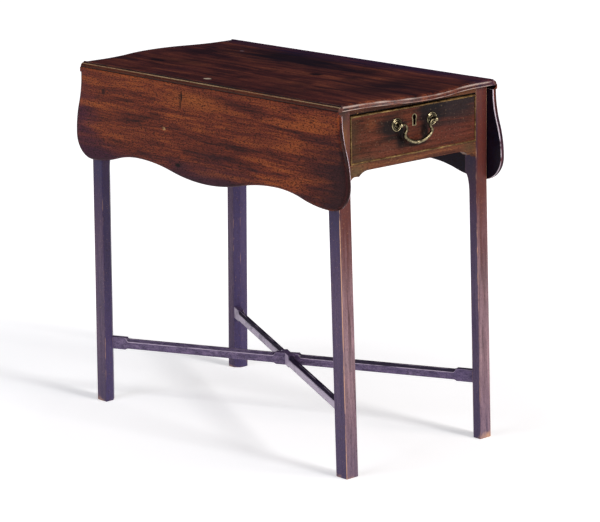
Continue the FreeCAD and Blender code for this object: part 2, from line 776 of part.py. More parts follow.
top_spots = [("top_near_screw", "hinge_screw_offset"), ("top_near_screw", "-hinge_screw_offset"), ("top_far_screw", "0")]
leaf_spots = [(reach, f"{side}hinge_screw_offset") for reach in ("leaf_near_screw", "leaf_far_screw")
              for side in ("", "-")]
into_leaf = Rotation(up, across)
top_plate_screws = group("top_plate_screws", hinge_screw,
                         [at(f"joint_half_width - {x}", y, "underside") for x, y in top_spots])
leaf_plate_screws = group("leaf_plate_screws", hinge_screw,
                          [at("leaf_in", y, f"pin_height - {z}", into_leaf) for z, y in leaf_spots])
top_plate = cut("top_plate", fuse("top_plate_blank", [top_flap, barrel]), [middle_room, pin_bore, top_plate_screws])
leaf_outer = cut("leaf_plate_flat", leaf_flap, outer_room)
leaf_plate = cut("leaf_plate", fuse("leaf_plate_blank", [leaf_outer, middle]), [pin, leaf_plate_screws])
stations = [at("0", f"{side}hinge_place", "0") for side in ("-", "")]
keep_pair(group("top_plate_pair", top_plate, stations), "hinge_top_plates_SIDE")
keep_pair(group("leaf_plate_pair", leaf_plate, stations), "hinge_leaf_plates_SIDE")
keep_pair(group("hinge_pin_pair", pin, stations), "hinge_pins_SIDE")
top_plate_screw_set = group("top_plate_screw_set", top_plate_screws, stations)
leaf_screw_set = group("leaf_screw_set", leaf_plate_screws, stations)
keep_pair(top_plate_screw_set, "hinge_top_screws_SIDE")
keep_pair(leaf_screw_set, "hinge_leaf_screws_SIDE")


# Top board: bowed ends, and an ovolo along each long edge over the hinge pins

end_half = [
    ("top_edge", "top_half_length"),
    ("bow_half_width", "top_half_length", "-bow_radius"),
    ("bow_half_width / 2", "top_half_length + end_bow / 2", "bow_radius"),
]
far_end = both_halves(end_half)
near_end = [(f"-({corner[0]})", f"-({corner[1]})", *corner[2:]) for corner in far_end]
top_blank = doc.addObject("PartDesign::Body", "top_blank")
top_outline = sketch(top_blank, "top_outline", "XY_Plane", [far_end + near_end], "underside")
top_pad = feature("Pad", top_blank, top_outline, "board_thick")
on_top = measure("table_height")
at_end = measure("top_half_length")
round_edges(top_blank, top_pad, "edge_round",
            lambda point: close_to(point.z, on_top) and abs(point.y) > at_end - tiny)
ovolo = [
    ("joint_half_width", "table_height + overrun"),
    ("joint_half_width", "pin_height + joint_radius", "-joint_radius"),
    ("top_edge", "pin_height"),
    ("top_edge + overrun", "pin_height"),
    ("top_edge + overrun", "table_height + overrun"),
]
ovolo_sketch = sketch(top_blank, "ovolo", "XZ_Plane", [ovolo, mirrored_x(ovolo)])
feature("Pocket", top_blank, ovolo_sketch, "2 * (top_half_length + end_bow + overrun)", symmetric=True)
hinge_room = fuse("hinge_room", [
    top_flap,
    block("barrel_room_box", barrel_x, ("-hinge_width / 2 - barrel_room", "hinge_width / 2 + barrel_room"),
          ("underside - overrun", "pin_height + barrel_clear")),
    block("crossing_room_box", ("joint_half_width", "top_edge + overrun"),
          ("-hinge_width / 2 - barrel_room", "hinge_width / 2 + barrel_room"),
          ("underside - overrun", "pin_height + crossing_room")),
])
hinge_rooms = group("hinge_rooms", hinge_room, stations)
top_cuts = [hinge_rooms, mirror(hinge_rooms, "hinge_rooms_left"), top_plate_screw_set,
            mirror(top_plate_screw_set, "top_plate_screw_set_left"), top_screws]
keep(cut("top_cut", top_blank, top_cuts), "top_board")
keep(top_screws, "top_screws")


# Leaves: eared ends, a shaped lower edge and a cove that wraps the ovolo

leaf_half = [
    ("top_half_length", "leaf_top"),
    ("top_half_length", "pin_height - flare_start", "flare_radius"),
    ("top_half_length + ear_flare / 2", "pin_height - flare_start - flare_fall / 2", "-flare_radius"),
    ("ear_half_length", "pin_height - ear_side", "-ear_radius"),
    ("ear_low", "pin_height - ear_drop", "-swell_radius"),
    ("ear_low - swell_run / 2", "pin_height - ear_drop + swell / 2", "swell_radius"),
    ("hollow_place", "pin_height - hollow_drop", "belly_radius"),
    ("hollow_place / 2", "pin_height - hollow_drop - belly / 2", "-belly_radius"),
]
leaf_blank = doc.addObject("PartDesign::Body", "leaf_blank")
leaf_outline = sketch(leaf_blank, "leaf_outline", "YZ_Plane", [both_halves(leaf_half)], "leaf_in")
leaf_pad = feature("Pad", leaf_blank, leaf_outline, "board_thick")
on_face = measure("leaf_out")
below_top = measure("leaf_top")
doc.recompute()
top_edge_names = edges_where(leaf_pad.Shape, lambda point: close_to(point.z, below_top))
face_edge_names = edges_where(leaf_pad.Shape, lambda point: close_to(point.x, on_face))
leaf_round = leaf_blank.newObject("PartDesign::Fillet", "leaf_round")
leaf_round.Base = (leaf_pad, [name for name in face_edge_names if name not in top_edge_names])
bind(leaf_round, Radius="edge_round")
cove = leaf_blank.newObject("Sketcher::SketchObject", "cove")
cove.AttachmentSupport = [(plane_of(leaf_blank, "XZ_Plane"), "")]
cove.MapMode = "FlatFace"
cove_centre = Vector(measure("joint_half_width"), measure("pin_height"), 0)
cove.addGeometry(Part.Circle(cove_centre, up, measure("cove_radius")), False)
cove_sizes = {"DistanceX": "joint_half_width", "DistanceY": "pin_height"}
for kind, text in cove_sizes.items():
    number = cove.addConstraint(Sketcher.Constraint(kind, -1, 1, 0, 3, measure(text)))
    cove.setExpression(f"Constraints[{number}]", formula(text))
number = cove.addConstraint(Sketcher.Constraint("Radius", 0, measure("cove_radius")))
cove.setExpression(f"Constraints[{number}]", formula("cove_radius"))
feature("Pocket", leaf_blank, cove, "2 * (ear_half_length + overrun)", symmetric=True)
leaf_rooms = group("leaf_rooms", leaf_flap, stations)
keep_pair(cut("leaf_cut", leaf_blank, [leaf_rooms, leaf_screw_set]), "leaf_SIDE")


# Drawer: dovetailed sides, a bottom in grooves and a cockbead round the front

def side_tails():
    """Corners of the lapped dovetails along the front end of a drawer side, going down."""
    pitch = f"(drawer_top - drawer_low) / {drawer_tails}"
    corners = []
    for tail in reversed(range(drawer_tails)):
        middle_z = f"drawer_low + {tail + 1 / 2} * {pitch}"
        for side, first, second in (("+", "root", "tip"), ("-", "tip", "root")):
            for step in (first, second):
                share = tail_root_share if step == "root" else tail_tip_share
                y = "-front_back" if step == "root" else "-front_back - tail_length"
                corners.append((y, f"{middle_z} {side} {share} * {pitch}"))
    return corners


drawer_side = prism("drawer_side_body", "YZ_Plane", [
    ("drawer_end", "drawer_low"),
    ("drawer_end", "drawer_top"),
    ("-front_back", "drawer_top"),
    *side_tails(),
    ("-front_back", "drawer_low"),
], "side_thick", "drawer_inside")
drawer_bottom = block("drawer_bottom_body", ("-drawer_inside - groove_depth", "drawer_inside + groove_depth"),
                      ("-front_back - groove_depth", "drawer_end"), ("bottom_low", "bottom_high"))
keep_pair(cut("drawer_side_cut", drawer_side, [drawer_bottom]), "drawer_side_SIDE")
keep(block("drawer_back_body", ("-drawer_inside", "drawer_inside"), ("drawer_end - drawer_back_thick", "drawer_end"),
           ("bottom_high", "drawer_top - drawer_back_drop")), "drawer_back")
keep(drawer_bottom, "drawer_bottom")


def bead(label, length):
    """A strip with a half-round nose at x = bead_depth, running up from z = 0."""
    return prism(label, "XY_Plane", [
        ("0", "0"),
        ("bead_depth - bead_thick / 2", "0", "bead_thick / 2"),
        ("bead_depth", "bead_thick / 2", "bead_thick / 2"),
        ("bead_depth - bead_thick / 2", "bead_thick"),
        ("0", "bead_thick"),
    ], length)


long_bead = bead("long_bead", "2 * drawer_half_width")
short_bead = bead("short_bead", "drawer_top - front_low - 2 * bead_thick")
bead_back = "bead_depth - bead_proud - rail_face"
facing = Rotation(Vector(0, -1, 0), up, across, "ZYX")
lying = Rotation(Vector(0, -1, 0), up, Vector(-1, 0, 0), "ZYX")
standing = Rotation(up, -90)
doc.recompute()
bead_places = [
    (long_bead, at("drawer_half_width", bead_back, "front_low", lying)),
    (long_bead, at("drawer_half_width", bead_back, "drawer_top - bead_thick", lying)),
    (short_bead, at("-drawer_half_width", bead_back, "front_low + bead_thick", standing)),
    (short_bead, at("drawer_half_width - bead_thick", bead_back, "front_low + bead_thick", standing)),
]
bead_strips = []
for pattern, place in bead_places:
    strip = pattern.Shape.copy()
    strip.Placement = place
    bead_strips.append(strip)
cockbead = doc.addObject("Part::Feature", "cockbead_group")
cockbead.Shape = Part.makeCompound(bead_strips)
keep(cockbead, "drawer_cockbead")


# Keyhole: a round head over a straight slot, lined by the escutcheon

def keyhole(label, wall, offset, length):
    """The keyhole grown by a wall, cut to a depth behind the drawer's face."""
    half = f"(keyhole_slot_width / 2 + {wall})"
    radius = f"(keyhole_head_radius + {wall})"
    neck = f"keyhole_height - sqrt({radius} ^ 2 - {half} ^ 2)"
    foot = f"keyhole_height - keyhole_length - {wall}"
    return prism(label, "XZ_Plane", [
        (f"-{half}", foot),
        (half, foot),
        (half, neck, radius, "large"),
        (f"-{half}", neck),
    ], length, offset, backwards=True)


escutcheon_blank = keyhole("escutcheon_blank", "escutcheon_wall", "rail_face", "escutcheon_depth")
key_way = keyhole("key_way", "0", "rail_face", "front_thick - lock_depth")
keep(cut("escutcheon_cut", escutcheon_blank, [key_way]), "escutcheon")

lock_z = ("drawer_top - lock_height", "drawer_top")
lock_blank = block("lock_blank", ("-lock_width / 2", "lock_width / 2"), ("-lock_front", "-front_back"), lock_z)
lock_cavity = block("lock_cavity", ("lock_wall - lock_width / 2", "lock_width / 2 - lock_wall"),
                    ("-lock_front", "-front_back - lock_wall"),
                    ("drawer_top - lock_height + lock_wall", "drawer_top - lock_wall"))
bolt_way = block("bolt_way", ("-bolt_width / 2 - bolt_play", "bolt_width / 2 + bolt_play"),
                 ("-bolt_front - bolt_play", "bolt_play - bolt_back"), ("drawer_top - lock_wall", "drawer_top"))
keep(cut("lock_cut", lock_blank, [lock_cavity, bolt_way]), "lock_case")
keep(block("bolt_body", ("-bolt_width / 2", "bolt_width / 2"), ("-bolt_front", "-bolt_back"),
           ("drawer_top - bolt_height", "drawer_top")), "lock_bolt")


# Handle: roses, ball-headed posts with nuts, and a swan-neck bail that swings in the posts

outward = Vector(0, -1, 0)
rose_body = doc.addObject("PartDesign::Body", "rose_pattern")
rose_section = sketch(rose_body, "rose_section", "XZ_Plane", [[
    ("post_radius", "0"),
    ("rose_radius", "0"),
    ("rose_radius", "rose_rim"),
    ("rose_radius - rose_rim", "rose_thick"),
    ("rose_dish_radius", "rose_rim"),
    ("rose_boss_radius", "rose_rim"),
    ("collar_radius", "rose_thick"),
    ("post_radius", "rose_thick"),
]])
rose_turned = rose_body.newObject("PartDesign::Revolution", "rose_turned")
rose_turned.Profile = rose_section
rose_turned.ReferenceAxis = (rose_section, ["V_Axis"])

post_tail = "front_back - nut_thick - post_radius"
post_shank = rod("post_shank", outward, "post_radius", f"pivot_stand - ({post_tail})", y=f"-({post_tail})")
post_collar = rod("post_collar", outward, "collar_radius", "post_stand - rose_thick", y="-rail_face - rose_thick")
post_ball = doc.addObject("Part::Sphere", "post_ball")
bind(post_ball, Radius="ball_radius", Placement__Base__y="-pivot_stand")
post_bore = rod("post_bore", across, "pivot_radius + running_play", "2 * ball_radius + 2 * overrun",
                x="-ball_radius - overrun", y="-pivot_stand")
post = cut("post_pattern", fuse("post_blank", [post_shank, post_collar, post_ball]), [post_bore])
nut_blank = block("nut_blank", ("-nut_width / 2", "nut_width / 2"), ("-front_back", "nut_thick - front_back"),
                  ("-nut_width / 2", "nut_width / 2"))
nut = cut("nut_pattern", nut_blank, [post_shank])
post_places = [at(f"{side}post_half_span", "0", "handle_height") for side in ("-", "")]
face_places = [at(f"{side}post_half_span", "-rail_face", "handle_height", Rotation(up, outward)) for side in ("-", "")]
keep(group("rose_group", rose_body, face_places), "handle_roses")
keep(group("nut_group", nut, post_places), "handle_nuts")
posts = keep(group("post_group", post, post_places), "handle_posts")
shank_holes = group("shank_holes", post_shank, post_places)


def bail_path():
    """Tangent arcs from the post down the neck, out round the shoulder and along the bottom."""
    def spot(centre, radius, angle):
        turned = math.radians(angle)
        return Vector(centre.x + radius * math.cos(turned), 0, centre.z + radius * math.sin(turned))

    neck_r, throat_r, shoulder_r = [measure(name) for name in ("neck_radius", "throat_radius", "shoulder_radius")]
    neck = Vector(measure("neck_start"), 0, -neck_r)
    throat = Vector(neck.x - neck_r + throat_r, 0, neck.z)
    out_angle = 180 + neck_turn
    joint = spot(throat, throat_r, out_angle)
    shoulder = spot(joint, shoulder_r, out_angle)
    low = spot(shoulder, shoulder_r, -shoulder_turn)
    sweep = low.x / math.cos(math.radians(shoulder_turn))
    belly = Vector(0, 0, low.z + sweep * math.sin(math.radians(shoulder_turn)))
    arcs = [(neck, neck_r, 90, 180), (throat, throat_r, 180, out_angle),
            (shoulder, shoulder_r, neck_turn, -shoulder_turn), (belly, sweep, -shoulder_turn, -90)]
    half = [Part.LineSegment(Vector(measure("neck_end"), 0, 0), spot(neck, neck_r, 90)).toShape()]
    for centre, radius, start, end in arcs:
        points = [spot(centre, radius, angle) for angle in (start, (start + end) / 2, end)]
        half.append(Part.Arc(*points).toShape())
    left = [edge.mirror(Vector(), across) for edge in reversed(half)]
    return Part.Wire(Part.__sortEdges__(half + left))


spine = bail_path()
spine.translate(Vector(0, -measure("pivot_stand"), measure("handle_height")))
start = Vector(measure("neck_end"), -measure("pivot_stand"), measure("handle_height"))
section = Part.Wire(Part.Circle(start, across, measure("bail_radius")).toShape())
bail_loop = spine.makePipeShell([section], True, False)
pivot_length = measure("post_half_span + pivot_tail - neck_end")
pivot_pins = [Part.makeCylinder(measure("pivot_radius"), pivot_length,
                                Vector(side * start.x, start.y, start.z), across * side) for side in (1, -1)]
bail = doc.addObject("Part::Feature", "bail_body")
bail.Shape = bail_loop.fuse(pivot_pins)
keep(bail, "bail_handle")


# Drawer front: takes the tails, the bottom, the bead, the lock, the keyhole and the posts

front_blank_board = block("front_board", ("-drawer_half_width", "drawer_half_width"), ("-rail_face", "-front_back"),
                          ("front_low", "drawer_top"))
left_side = mirror(drawer_side, "drawer_side_left_body")
front_cuts = [drawer_side, left_side, drawer_bottom]
front_jointed = cut("front_jointed", front_blank_board, front_cuts)
front_beaded = cut("front_beaded", front_jointed, [cockbead])
front_locked = cut("front_locked", front_beaded, [lock_blank, key_way, escutcheon_blank])
keep(cut("front_bored", front_locked, [shank_holes]), "drawer_front")


# Checks, then one file for each sub-part

doc.recompute()
for piece in doc.Objects:
    faults = [state for state in piece.State if state in ("Invalid", "Error")]
    if faults:
        raise RuntimeError(f"{piece.Label} is {faults}")
    if piece.TypeId == "PartDesign::Pocket" and piece.Shape.Volume >= piece.BaseFeature.Shape.Volume:
        raise RuntimeError(f"{piece.Label} of {piece.getParentGeoFeatureGroup().Label} cuts nothing")
for piece in nodes:
    if piece.Shape.isNull() or not piece.Shape.isValid() or not piece.Shape.Solids:
        raise RuntimeError(f"{piece.Label} has no valid solid")
os.makedirs("parts", exist_ok=True)
for piece in nodes:
    piece.Shape.exportStep(f"parts/{piece.Label}.step")
print(len(nodes), "sub-parts written")
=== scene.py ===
import math

import bpy
import numpy as np
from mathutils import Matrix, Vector


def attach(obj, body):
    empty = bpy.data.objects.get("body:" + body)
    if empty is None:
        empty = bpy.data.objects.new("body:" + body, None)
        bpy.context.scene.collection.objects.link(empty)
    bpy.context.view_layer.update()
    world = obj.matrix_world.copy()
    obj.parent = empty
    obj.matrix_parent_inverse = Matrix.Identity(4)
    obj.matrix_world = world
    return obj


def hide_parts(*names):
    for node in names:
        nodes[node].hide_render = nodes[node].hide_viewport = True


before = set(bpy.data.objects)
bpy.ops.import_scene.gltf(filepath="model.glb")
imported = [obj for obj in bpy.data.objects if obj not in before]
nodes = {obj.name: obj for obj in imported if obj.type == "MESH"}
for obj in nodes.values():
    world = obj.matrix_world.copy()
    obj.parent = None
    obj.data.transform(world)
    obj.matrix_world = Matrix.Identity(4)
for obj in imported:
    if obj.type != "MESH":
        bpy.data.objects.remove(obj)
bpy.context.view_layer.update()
scene = bpy.context.scene
print("frame loaded:", len(nodes), "nodes")

mm = 0.001


# colours, nodes and meshes

def linear(hexCode):
    # sRGB hex to linear: c / 12.92 below the toe, ((c + 0.055) / 1.055) ^ 2.4 above it
    c = np.array([int(hexCode[i:i + 2], 16) for i in (1, 3, 5)]) / 255
    return (*np.where(c <= 0.04045, c / 12.92, ((c + 0.055) / 1.055) ** 2.4), 1.0)


def addNode(tree, kind, sets=None, links=None, **fields):
    # one node, its fields, its socket values, and what feeds its sockets
    node = tree.nodes.new(kind)
    for field, value in fields.items():
        setattr(node, field, value)
    for socket, value in (sets or {}).items():
        node.inputs[socket].default_value = value
    for socket, source in (links or {}).items():
        tree.links.new(source, node.inputs[socket])
    return node


def newMaterial(name):
    material = bpy.data.materials.new(name)
    material.use_nodes = True
    tree = material.node_tree
    return material, tree, tree.nodes["Principled BSDF"]


def paint(material, *names):
    for name in names:
        slots = nodes[name].data.materials
        slots.clear()
        slots.append(material)


def ringShell(rings, wear=0.0, paintedShade=0.0, closed=False):
    # quads between neighbouring rings of points (k, n, 3), each ring a closed loop; flat caps end an open stack
    k, n = rings.shape[:2]
    index = np.arange(k * n).reshape(k, n)
    ahead = index if closed else index[:-1]
    above = np.roll(index, -1, axis=0) if closed else index[1:]
    quads = np.stack([ahead, np.roll(ahead, -1, axis=1), np.roll(above, -1, axis=1), above], axis=-1).reshape(-1, 4)
    caps = [] if closed else [index[0][::-1], index[-1]]
    values = [np.broadcast_to(value, (k, n)).reshape(-1) for value in (wear, paintedShade)]
    return rings.reshape(-1, 3), quads, caps, *values


def flipped(shell):
    # the same shell with every face turned over
    points, quads, caps, wear, paintedShade = shell
    return points, quads[:, ::-1], [cap[::-1] for cap in caps], wear, paintedShade


def makePiece(name, shells, material, body, replaced, sharpAngle=38):
    # shells in millimetres become one mesh in metres; on every point "wear" runs from dirt (-1) to rubbed (1), and on
    # some creases and edges it also paints shade and highlight; the second attribute is painted shade, how far the
    # piece's shade colour comes in
    verts = np.concatenate([shell[0] for shell in shells]) * mm
    starts = np.cumsum([0] + [len(shell[0]) for shell in shells])[:-1]
    loops = [part for shell, start in zip(shells, starts)
             for part in [(shell[1] + start).reshape(-1)] + [cap + start for cap in shell[2]]]
    counts = np.concatenate([np.concatenate([np.full(len(shell[1]), 4), [len(cap) for cap in shell[2]]])
                             for shell in shells]).astype(np.int32)
    corners = np.concatenate(loops).astype(np.int32)
    mesh = bpy.data.meshes.new(name)
    mesh.vertices.add(len(verts))
    mesh.vertices.foreach_set("co", verts.astype(np.float32).ravel())
    mesh.loops.add(len(corners))
    mesh.loops.foreach_set("vertex_index", corners)
    mesh.polygons.add(len(counts))
    mesh.polygons.foreach_set("loop_start", (np.cumsum(counts) - counts).astype(np.int32))
    mesh.polygons.foreach_set("loop_total", counts)
    mesh.update(calc_edges=True)
    mesh.validate()
    mesh.shade_smooth()
    mesh.set_sharp_from_angle(angle=math.radians(sharpAngle))
    for label, place in (("wear", 3), ("paintedShade", 4)):
        values = np.concatenate([shell[place] for shell in shells]).astype(np.float32)
        mesh.attributes.new(label, "FLOAT", "POINT").data.foreach_set("value", values)
    mesh.materials.append(material)
    piece = bpy.data.objects.new(name, mesh)
    scene.collection.objects.link(piece)
    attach(piece, body)
    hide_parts(*replaced)


# wood

def makeWood(name, look):
    # old polished wood: long dark streaks, short open pores, stains, dirt in the hollows and pale rubbed edges, with
    # painted shade and painted highlight where the pieces ask for them
    material, tree, shader = newMaterial(name)
    coord = addNode(tree, "ShaderNodeTexCoord").outputs["Object"]
    wander = addNode(tree, "ShaderNodeTexNoise", {"Scale": 1 / (look["wanderMm"][0] * mm), "Detail": 2.0},
                     {"Vector": coord})
    centred = addNode(tree, "ShaderNodeVectorMath", {1: (0.5, 0.5, 0.5)}, {0: wander.outputs["Color"]},
                      operation="SUBTRACT")
    shifted = addNode(tree, "ShaderNodeVectorMath", {"Scale": look["wanderMm"][1] * mm}, {0: centred.outputs[0]},
                      operation="SCALE")
    bent = addNode(tree, "ShaderNodeVectorMath", None, {0: coord, 1: shifted.outputs[0]}, operation="ADD")

    def grain(sizeMm, source, **sets):
        # noise drawn out along the grain: sizeMm is its length along and its width across
        scale = [1 / (sizeMm[1] * mm)] * 3
        scale["XYZ".index(look["grain"])] = 1 / (sizeMm[0] * mm)
        stretched = addNode(tree, "ShaderNodeMapping", {"Scale": scale, "Rotation": look["slant"]}, {"Vector": source})
        noise = addNode(tree, "ShaderNodeTexNoise", {"Scale": 1.0, **sets}, {"Vector": stretched.outputs[0]})
        return noise.outputs["Fac"]

    def spots(sizeMm, **sets):
        # even noise of this size
        noise = addNode(tree, "ShaderNodeTexNoise", {"Scale": 1 / (sizeMm * mm), **sets}, {"Vector": coord})
        return noise.outputs["Fac"]

    streak = grain(look["streakMm"], bent.outputs[0], Detail=3.0, Roughness=0.55, Distortion=0.4)
    ribbon = grain(look["ribbonMm"], bent.outputs[0], Detail=4.0, Roughness=0.65)
    pore = grain(look["poreMm"], bent.outputs[0], Detail=2.0, Roughness=0.6)
    bands = addNode(tree, "ShaderNodeMix", {"Factor": look["ribbonShare"]}, {2: streak, 3: ribbon}, data_type="FLOAT")
    ramp = addNode(tree, "ShaderNodeValToRGB", None, {"Fac": bands.outputs[0]})
    elements = ramp.color_ramp.elements
    elements.new(0.5)
    for element, place, colour in zip(elements, look["rampAt"], look["colours"]):
        element.position = place
        element.color = linear(colour)
    colour = ramp.outputs[0]

    def lay(cover, hexCode, under):
        # a colour laid over what is under it, as far as the cover says
        return addNode(tree, "ShaderNodeMix", {7: linear(hexCode)}, {0: cover, 6: under}, data_type="RGBA").outputs[2]

    def mask(value, start, end, share):
        # 0 where the value is at the start, and the share where it has reached the end
        return addNode(tree, "ShaderNodeMapRange", {"From Min": start, "From Max": end, "To Max": share},
                       {"Value": value}).outputs[0]

    age = spots(look["ageMm"], Detail=4.0, Roughness=0.6)
    colour = lay(mask(age, *look["ageBand"], look["ageShare"]), look["ageColour"], colour)
    for at, sizeMm, share, hexCode, core, ragged in look["marks"]:
        # a round or drawn-out mark: its share at the core, falling to 0 at a ragged edge
        away = addNode(tree, "ShaderNodeVectorMath", {1: [v * mm for v in at]}, {0: coord}, operation="SUBTRACT")
        sized = addNode(tree, "ShaderNodeVectorMath", {1: [1 / (v * mm) for v in sizeMm]}, {0: away.outputs[0]},
                        operation="MULTIPLY")
        reach = addNode(tree, "ShaderNodeVectorMath", None, {0: sized.outputs[0]}, operation="LENGTH")
        rough = addNode(tree, "ShaderNodeMath", {1: ragged}, {0: streak, 2: reach.outputs["Value"]},
                        operation="MULTIPLY_ADD")
        colour = lay(mask(rough.outputs[0], look["markEdge"], core, share), hexCode, colour)
    # painted shade: the piece's shade colour laid over the wood as far as its shade attribute says
    paintedShade = addNode(tree, "ShaderNodeAttribute", attribute_name="paintedShade")
    shadeMask = addNode(tree, "ShaderNodeMath", {1: look["shadeShare"]}, {0: paintedShade.outputs["Fac"]}, operation="MULTIPLY")
    colour = lay(shadeMask.outputs[0], look["shadeColour"], colour)
    poreFrom, rubFrom = look["poreFrom"], look["rubFrom"]
    colour = lay(mask(pore, poreFrom, poreFrom + look["poreBand"], look["poreShare"]), look["poreColour"], colour)
    speck = spots(look["speckMm"], Detail=1.0)
    colour = lay(mask(speck, *look["speckBand"], look["speckShare"]), look["wearColour"], colour)
    wear = addNode(tree, "ShaderNodeAttribute", attribute_name="wear")
    rub = spots(look["rubMm"], Detail=3.0)
    worn = addNode(tree, "ShaderNodeMath", None, {0: wear.outputs["Fac"], 1: rub}, operation="MULTIPLY").outputs[0]
    # wear below zero lays dirt, and in some creases painted shade; above zero it lays pale rubbed edges, on some edges
    # painted highlight
    colour = lay(mask(worn, *look["dirtBand"], look["dirtShare"]), look["poreColour"], colour)
    colour = lay(mask(worn, rubFrom, rubFrom + look["rubBand"], look["wearShare"]), look["wearColour"], colour)
    smooth, dull = look["rough"]
    polish = addNode(tree, "ShaderNodeMapRange", {"From Min": look["polishBand"][0], "From Max": look["polishBand"][1],
                                                  "To Min": smooth, "To Max": dull}, {"Value": age})
    bump = addNode(tree, "ShaderNodeBump", {"Strength": look["poreBump"][0], "Distance": look["poreBump"][1] * mm},
                   {"Height": pore}, invert=True)
    tree.links.new(colour, shader.inputs["Base Color"])
    tree.links.new(polish.outputs[0], shader.inputs["Roughness"])
    tree.links.new(bump.outputs[0], shader.inputs["Normal"])
    shader.inputs["IOR"].default_value = look["ior"]
    shader.inputs["Specular IOR Level"].default_value = look["gloss"]
    return material


# sizes along and across the grain in mm; pores are drawn about three times too wide, so that they show. A band gives the
# values between which a layer comes in, and a share how far it covers what is under it
woodBase = {
    "grain": "Y", "slant": (0, 0, 0), "wanderMm": (240, 16), "streakMm": (230, 18), "ribbonMm": (110, 4.5),
    "ribbonShare": 0.45, "rampAt": (0.37, 0.5, 0.63),
    "poreMm": (6, 1.6), "poreFrom": 0.55, "poreBand": 0.06, "poreShare": 0.6, "poreBump": (0.25, 0.15),
    "ageMm": 170, "ageBand": (0.46, 0.72), "ageShare": 0.5, "speckMm": 3, "speckBand": (0.66, 0.74), "speckShare": 0.0,
    "rubMm": 22, "rubFrom": 0.26, "rubBand": 0.16, "wearShare": 0.8, "dirtBand": (-0.08, -0.4), "dirtShare": 0.85,
    # the near-black shade colour is painted shade, laid on undersides and sides out of the light
    "rough": (0.3, 0.46), "polishBand": (0.3, 0.7), "ior": 1.5, "gloss": 0.1, "shadeColour": "#08070c", "shadeShare": 0.97,
    # marks: place and half size in mm, share, colour, how far its core reaches, and how ragged it is
    "marks": [], "markEdge": 1.25,
}
endless = 9000  # half size of a mark that runs right across a piece

# deep red-brown, nearly black where the polish has sunk, with dark stains and a pale nick; violet patches on the far
# side are painted reflection, the underside is painted near-black as shade, and the pale lines on the joint and the
# ends are partly painted highlight
topMahogany = makeWood("mahoganyTop", {
    **woodBase, "colours": ("#240f10", "#5a2a20", "#80452c"), "poreColour": "#150809", "ageColour": "#1e1016",
    "wearColour": "#a8948a", "slant": (0, 0, 0.03), "gloss": 0.2, "ageMm": 100, "ageShare": 0.75, "rubMm": 50,
    "wanderMm": (150, 22),
    "marks": [
        ((100, 90, 711), (110, 400, 60), 0.95, "#140b11", 0.7, 0.9),
        ((0, -290, 711), (170, 150, 60), 0.85, "#1d1013", 0.6, 0.9),
        # painted reflection: violet-dark patches along the far side and at the far end
        ((240, -60, 711), (120, 900, 60), 0.92, "#281b3c", 0.65, 0.6),
        ((40, 440, 711), (260, 130, 60), 0.6, "#2a1628", 0.1, 0.5),
        ((-205, 0, 702.5), (7, endless, 5), 0.85, "#4a281c", 0.8, 0.4),
        ((205, 0, 702.5), (7, endless, 5), 0.85, "#4c2a22", 0.8, 0.2),
        # pale lines on the upper quarter round of the joint: partly wear, partly painted highlight
        ((-203, 0, 708), (2.6, endless, 2), 0.9, "#b89c74", 0.6, 1.0),
        ((203, 0, 708), (2.6, endless, 2), 0.85, "#a88e6c", 0.6, 0.5),
        ((-169, 29, 711), (6, 9, 6), 0.95, "#dccbb0", 0.8, 0.1),
        ((-88, 281, 711), (10, 24, 6), 0.9, "#160a0b", 0.8, 0.3),
        ((8, -88, 711), (13, 22, 6), 0.95, "#0e0709", 0.8, 0.5),
        ((104, 242, 711), (4, 6, 6), 0.7, "#8a7880", 0.8, 0.1),
    ],
})
# the brightest wood: orange-brown figure with fine dark pores, dulling to plum at the ears; its inside is painted
# near-black as shade, and the pale lilac lines on its edges are partly painted highlight
leafMahogany = makeWood("mahoganyLeaf", {
    **woodBase, "colours": ("#260e0c", "#652a19", "#8c4620"), "poreColour": "#170706", "ageColour": "#421a1a",
    "shadeColour": "#12101f", "wearColour": "#d8ccd6", "poreFrom": 0.52, "poreMm": (5, 1.3), "poreShare": 0.85,
    "ribbonMm": (70, 3), "slant": (0.06, 0, 0), "gloss": 0.06,
    "marks": [
        ((-208, 420, 580), (60, 130, 190), 0.85, "#421a2a", 0.7, 0.9),
        ((-208, -420, 570), (60, 240, 180), 0.9, "#2a1418", 0.75, 1.1),
        ((-208, -40, 500), (60, 420, 80), 0.88, "#331a26", 0.8, 0.9),
        ((-208, 330, 515), (60, 160, 50), 0.85, "#34162a", 0.65, 0.7),
        ((-208, 30, 672), (60, 120, 26), 0.5, "#9a5624", 0.2, 0.6),
        ((-203, -392, 640), (12, 10, 90), 0.75, "#180d10", 0.5, 0.3),
        ((204, -396, 590), (20, 24, 120), 0.75, "#3a2e44", 0.5, 0.3),
        ((-208.3, 78, 540), (9, 12, 6), 1.0, "#0b0505", 0.8, 0.9),
        ((-208.3, 62, 678), (9, 3, 10), 0.95, "#140806", 0.8, 0.2),
        ((-208.3, 66, 662), (9, 2.6, 12), 0.8, "#140806", 0.8, 0.2),
        ((-208.3, 118, 607), (9, 6, 4), 0.7, "#b08a5c", 0.8, 0.5),
        ((-208.3, 307, 658), (9, 7, 7), 0.85, "#210d0c", 0.8, 0.4),
    ],
})
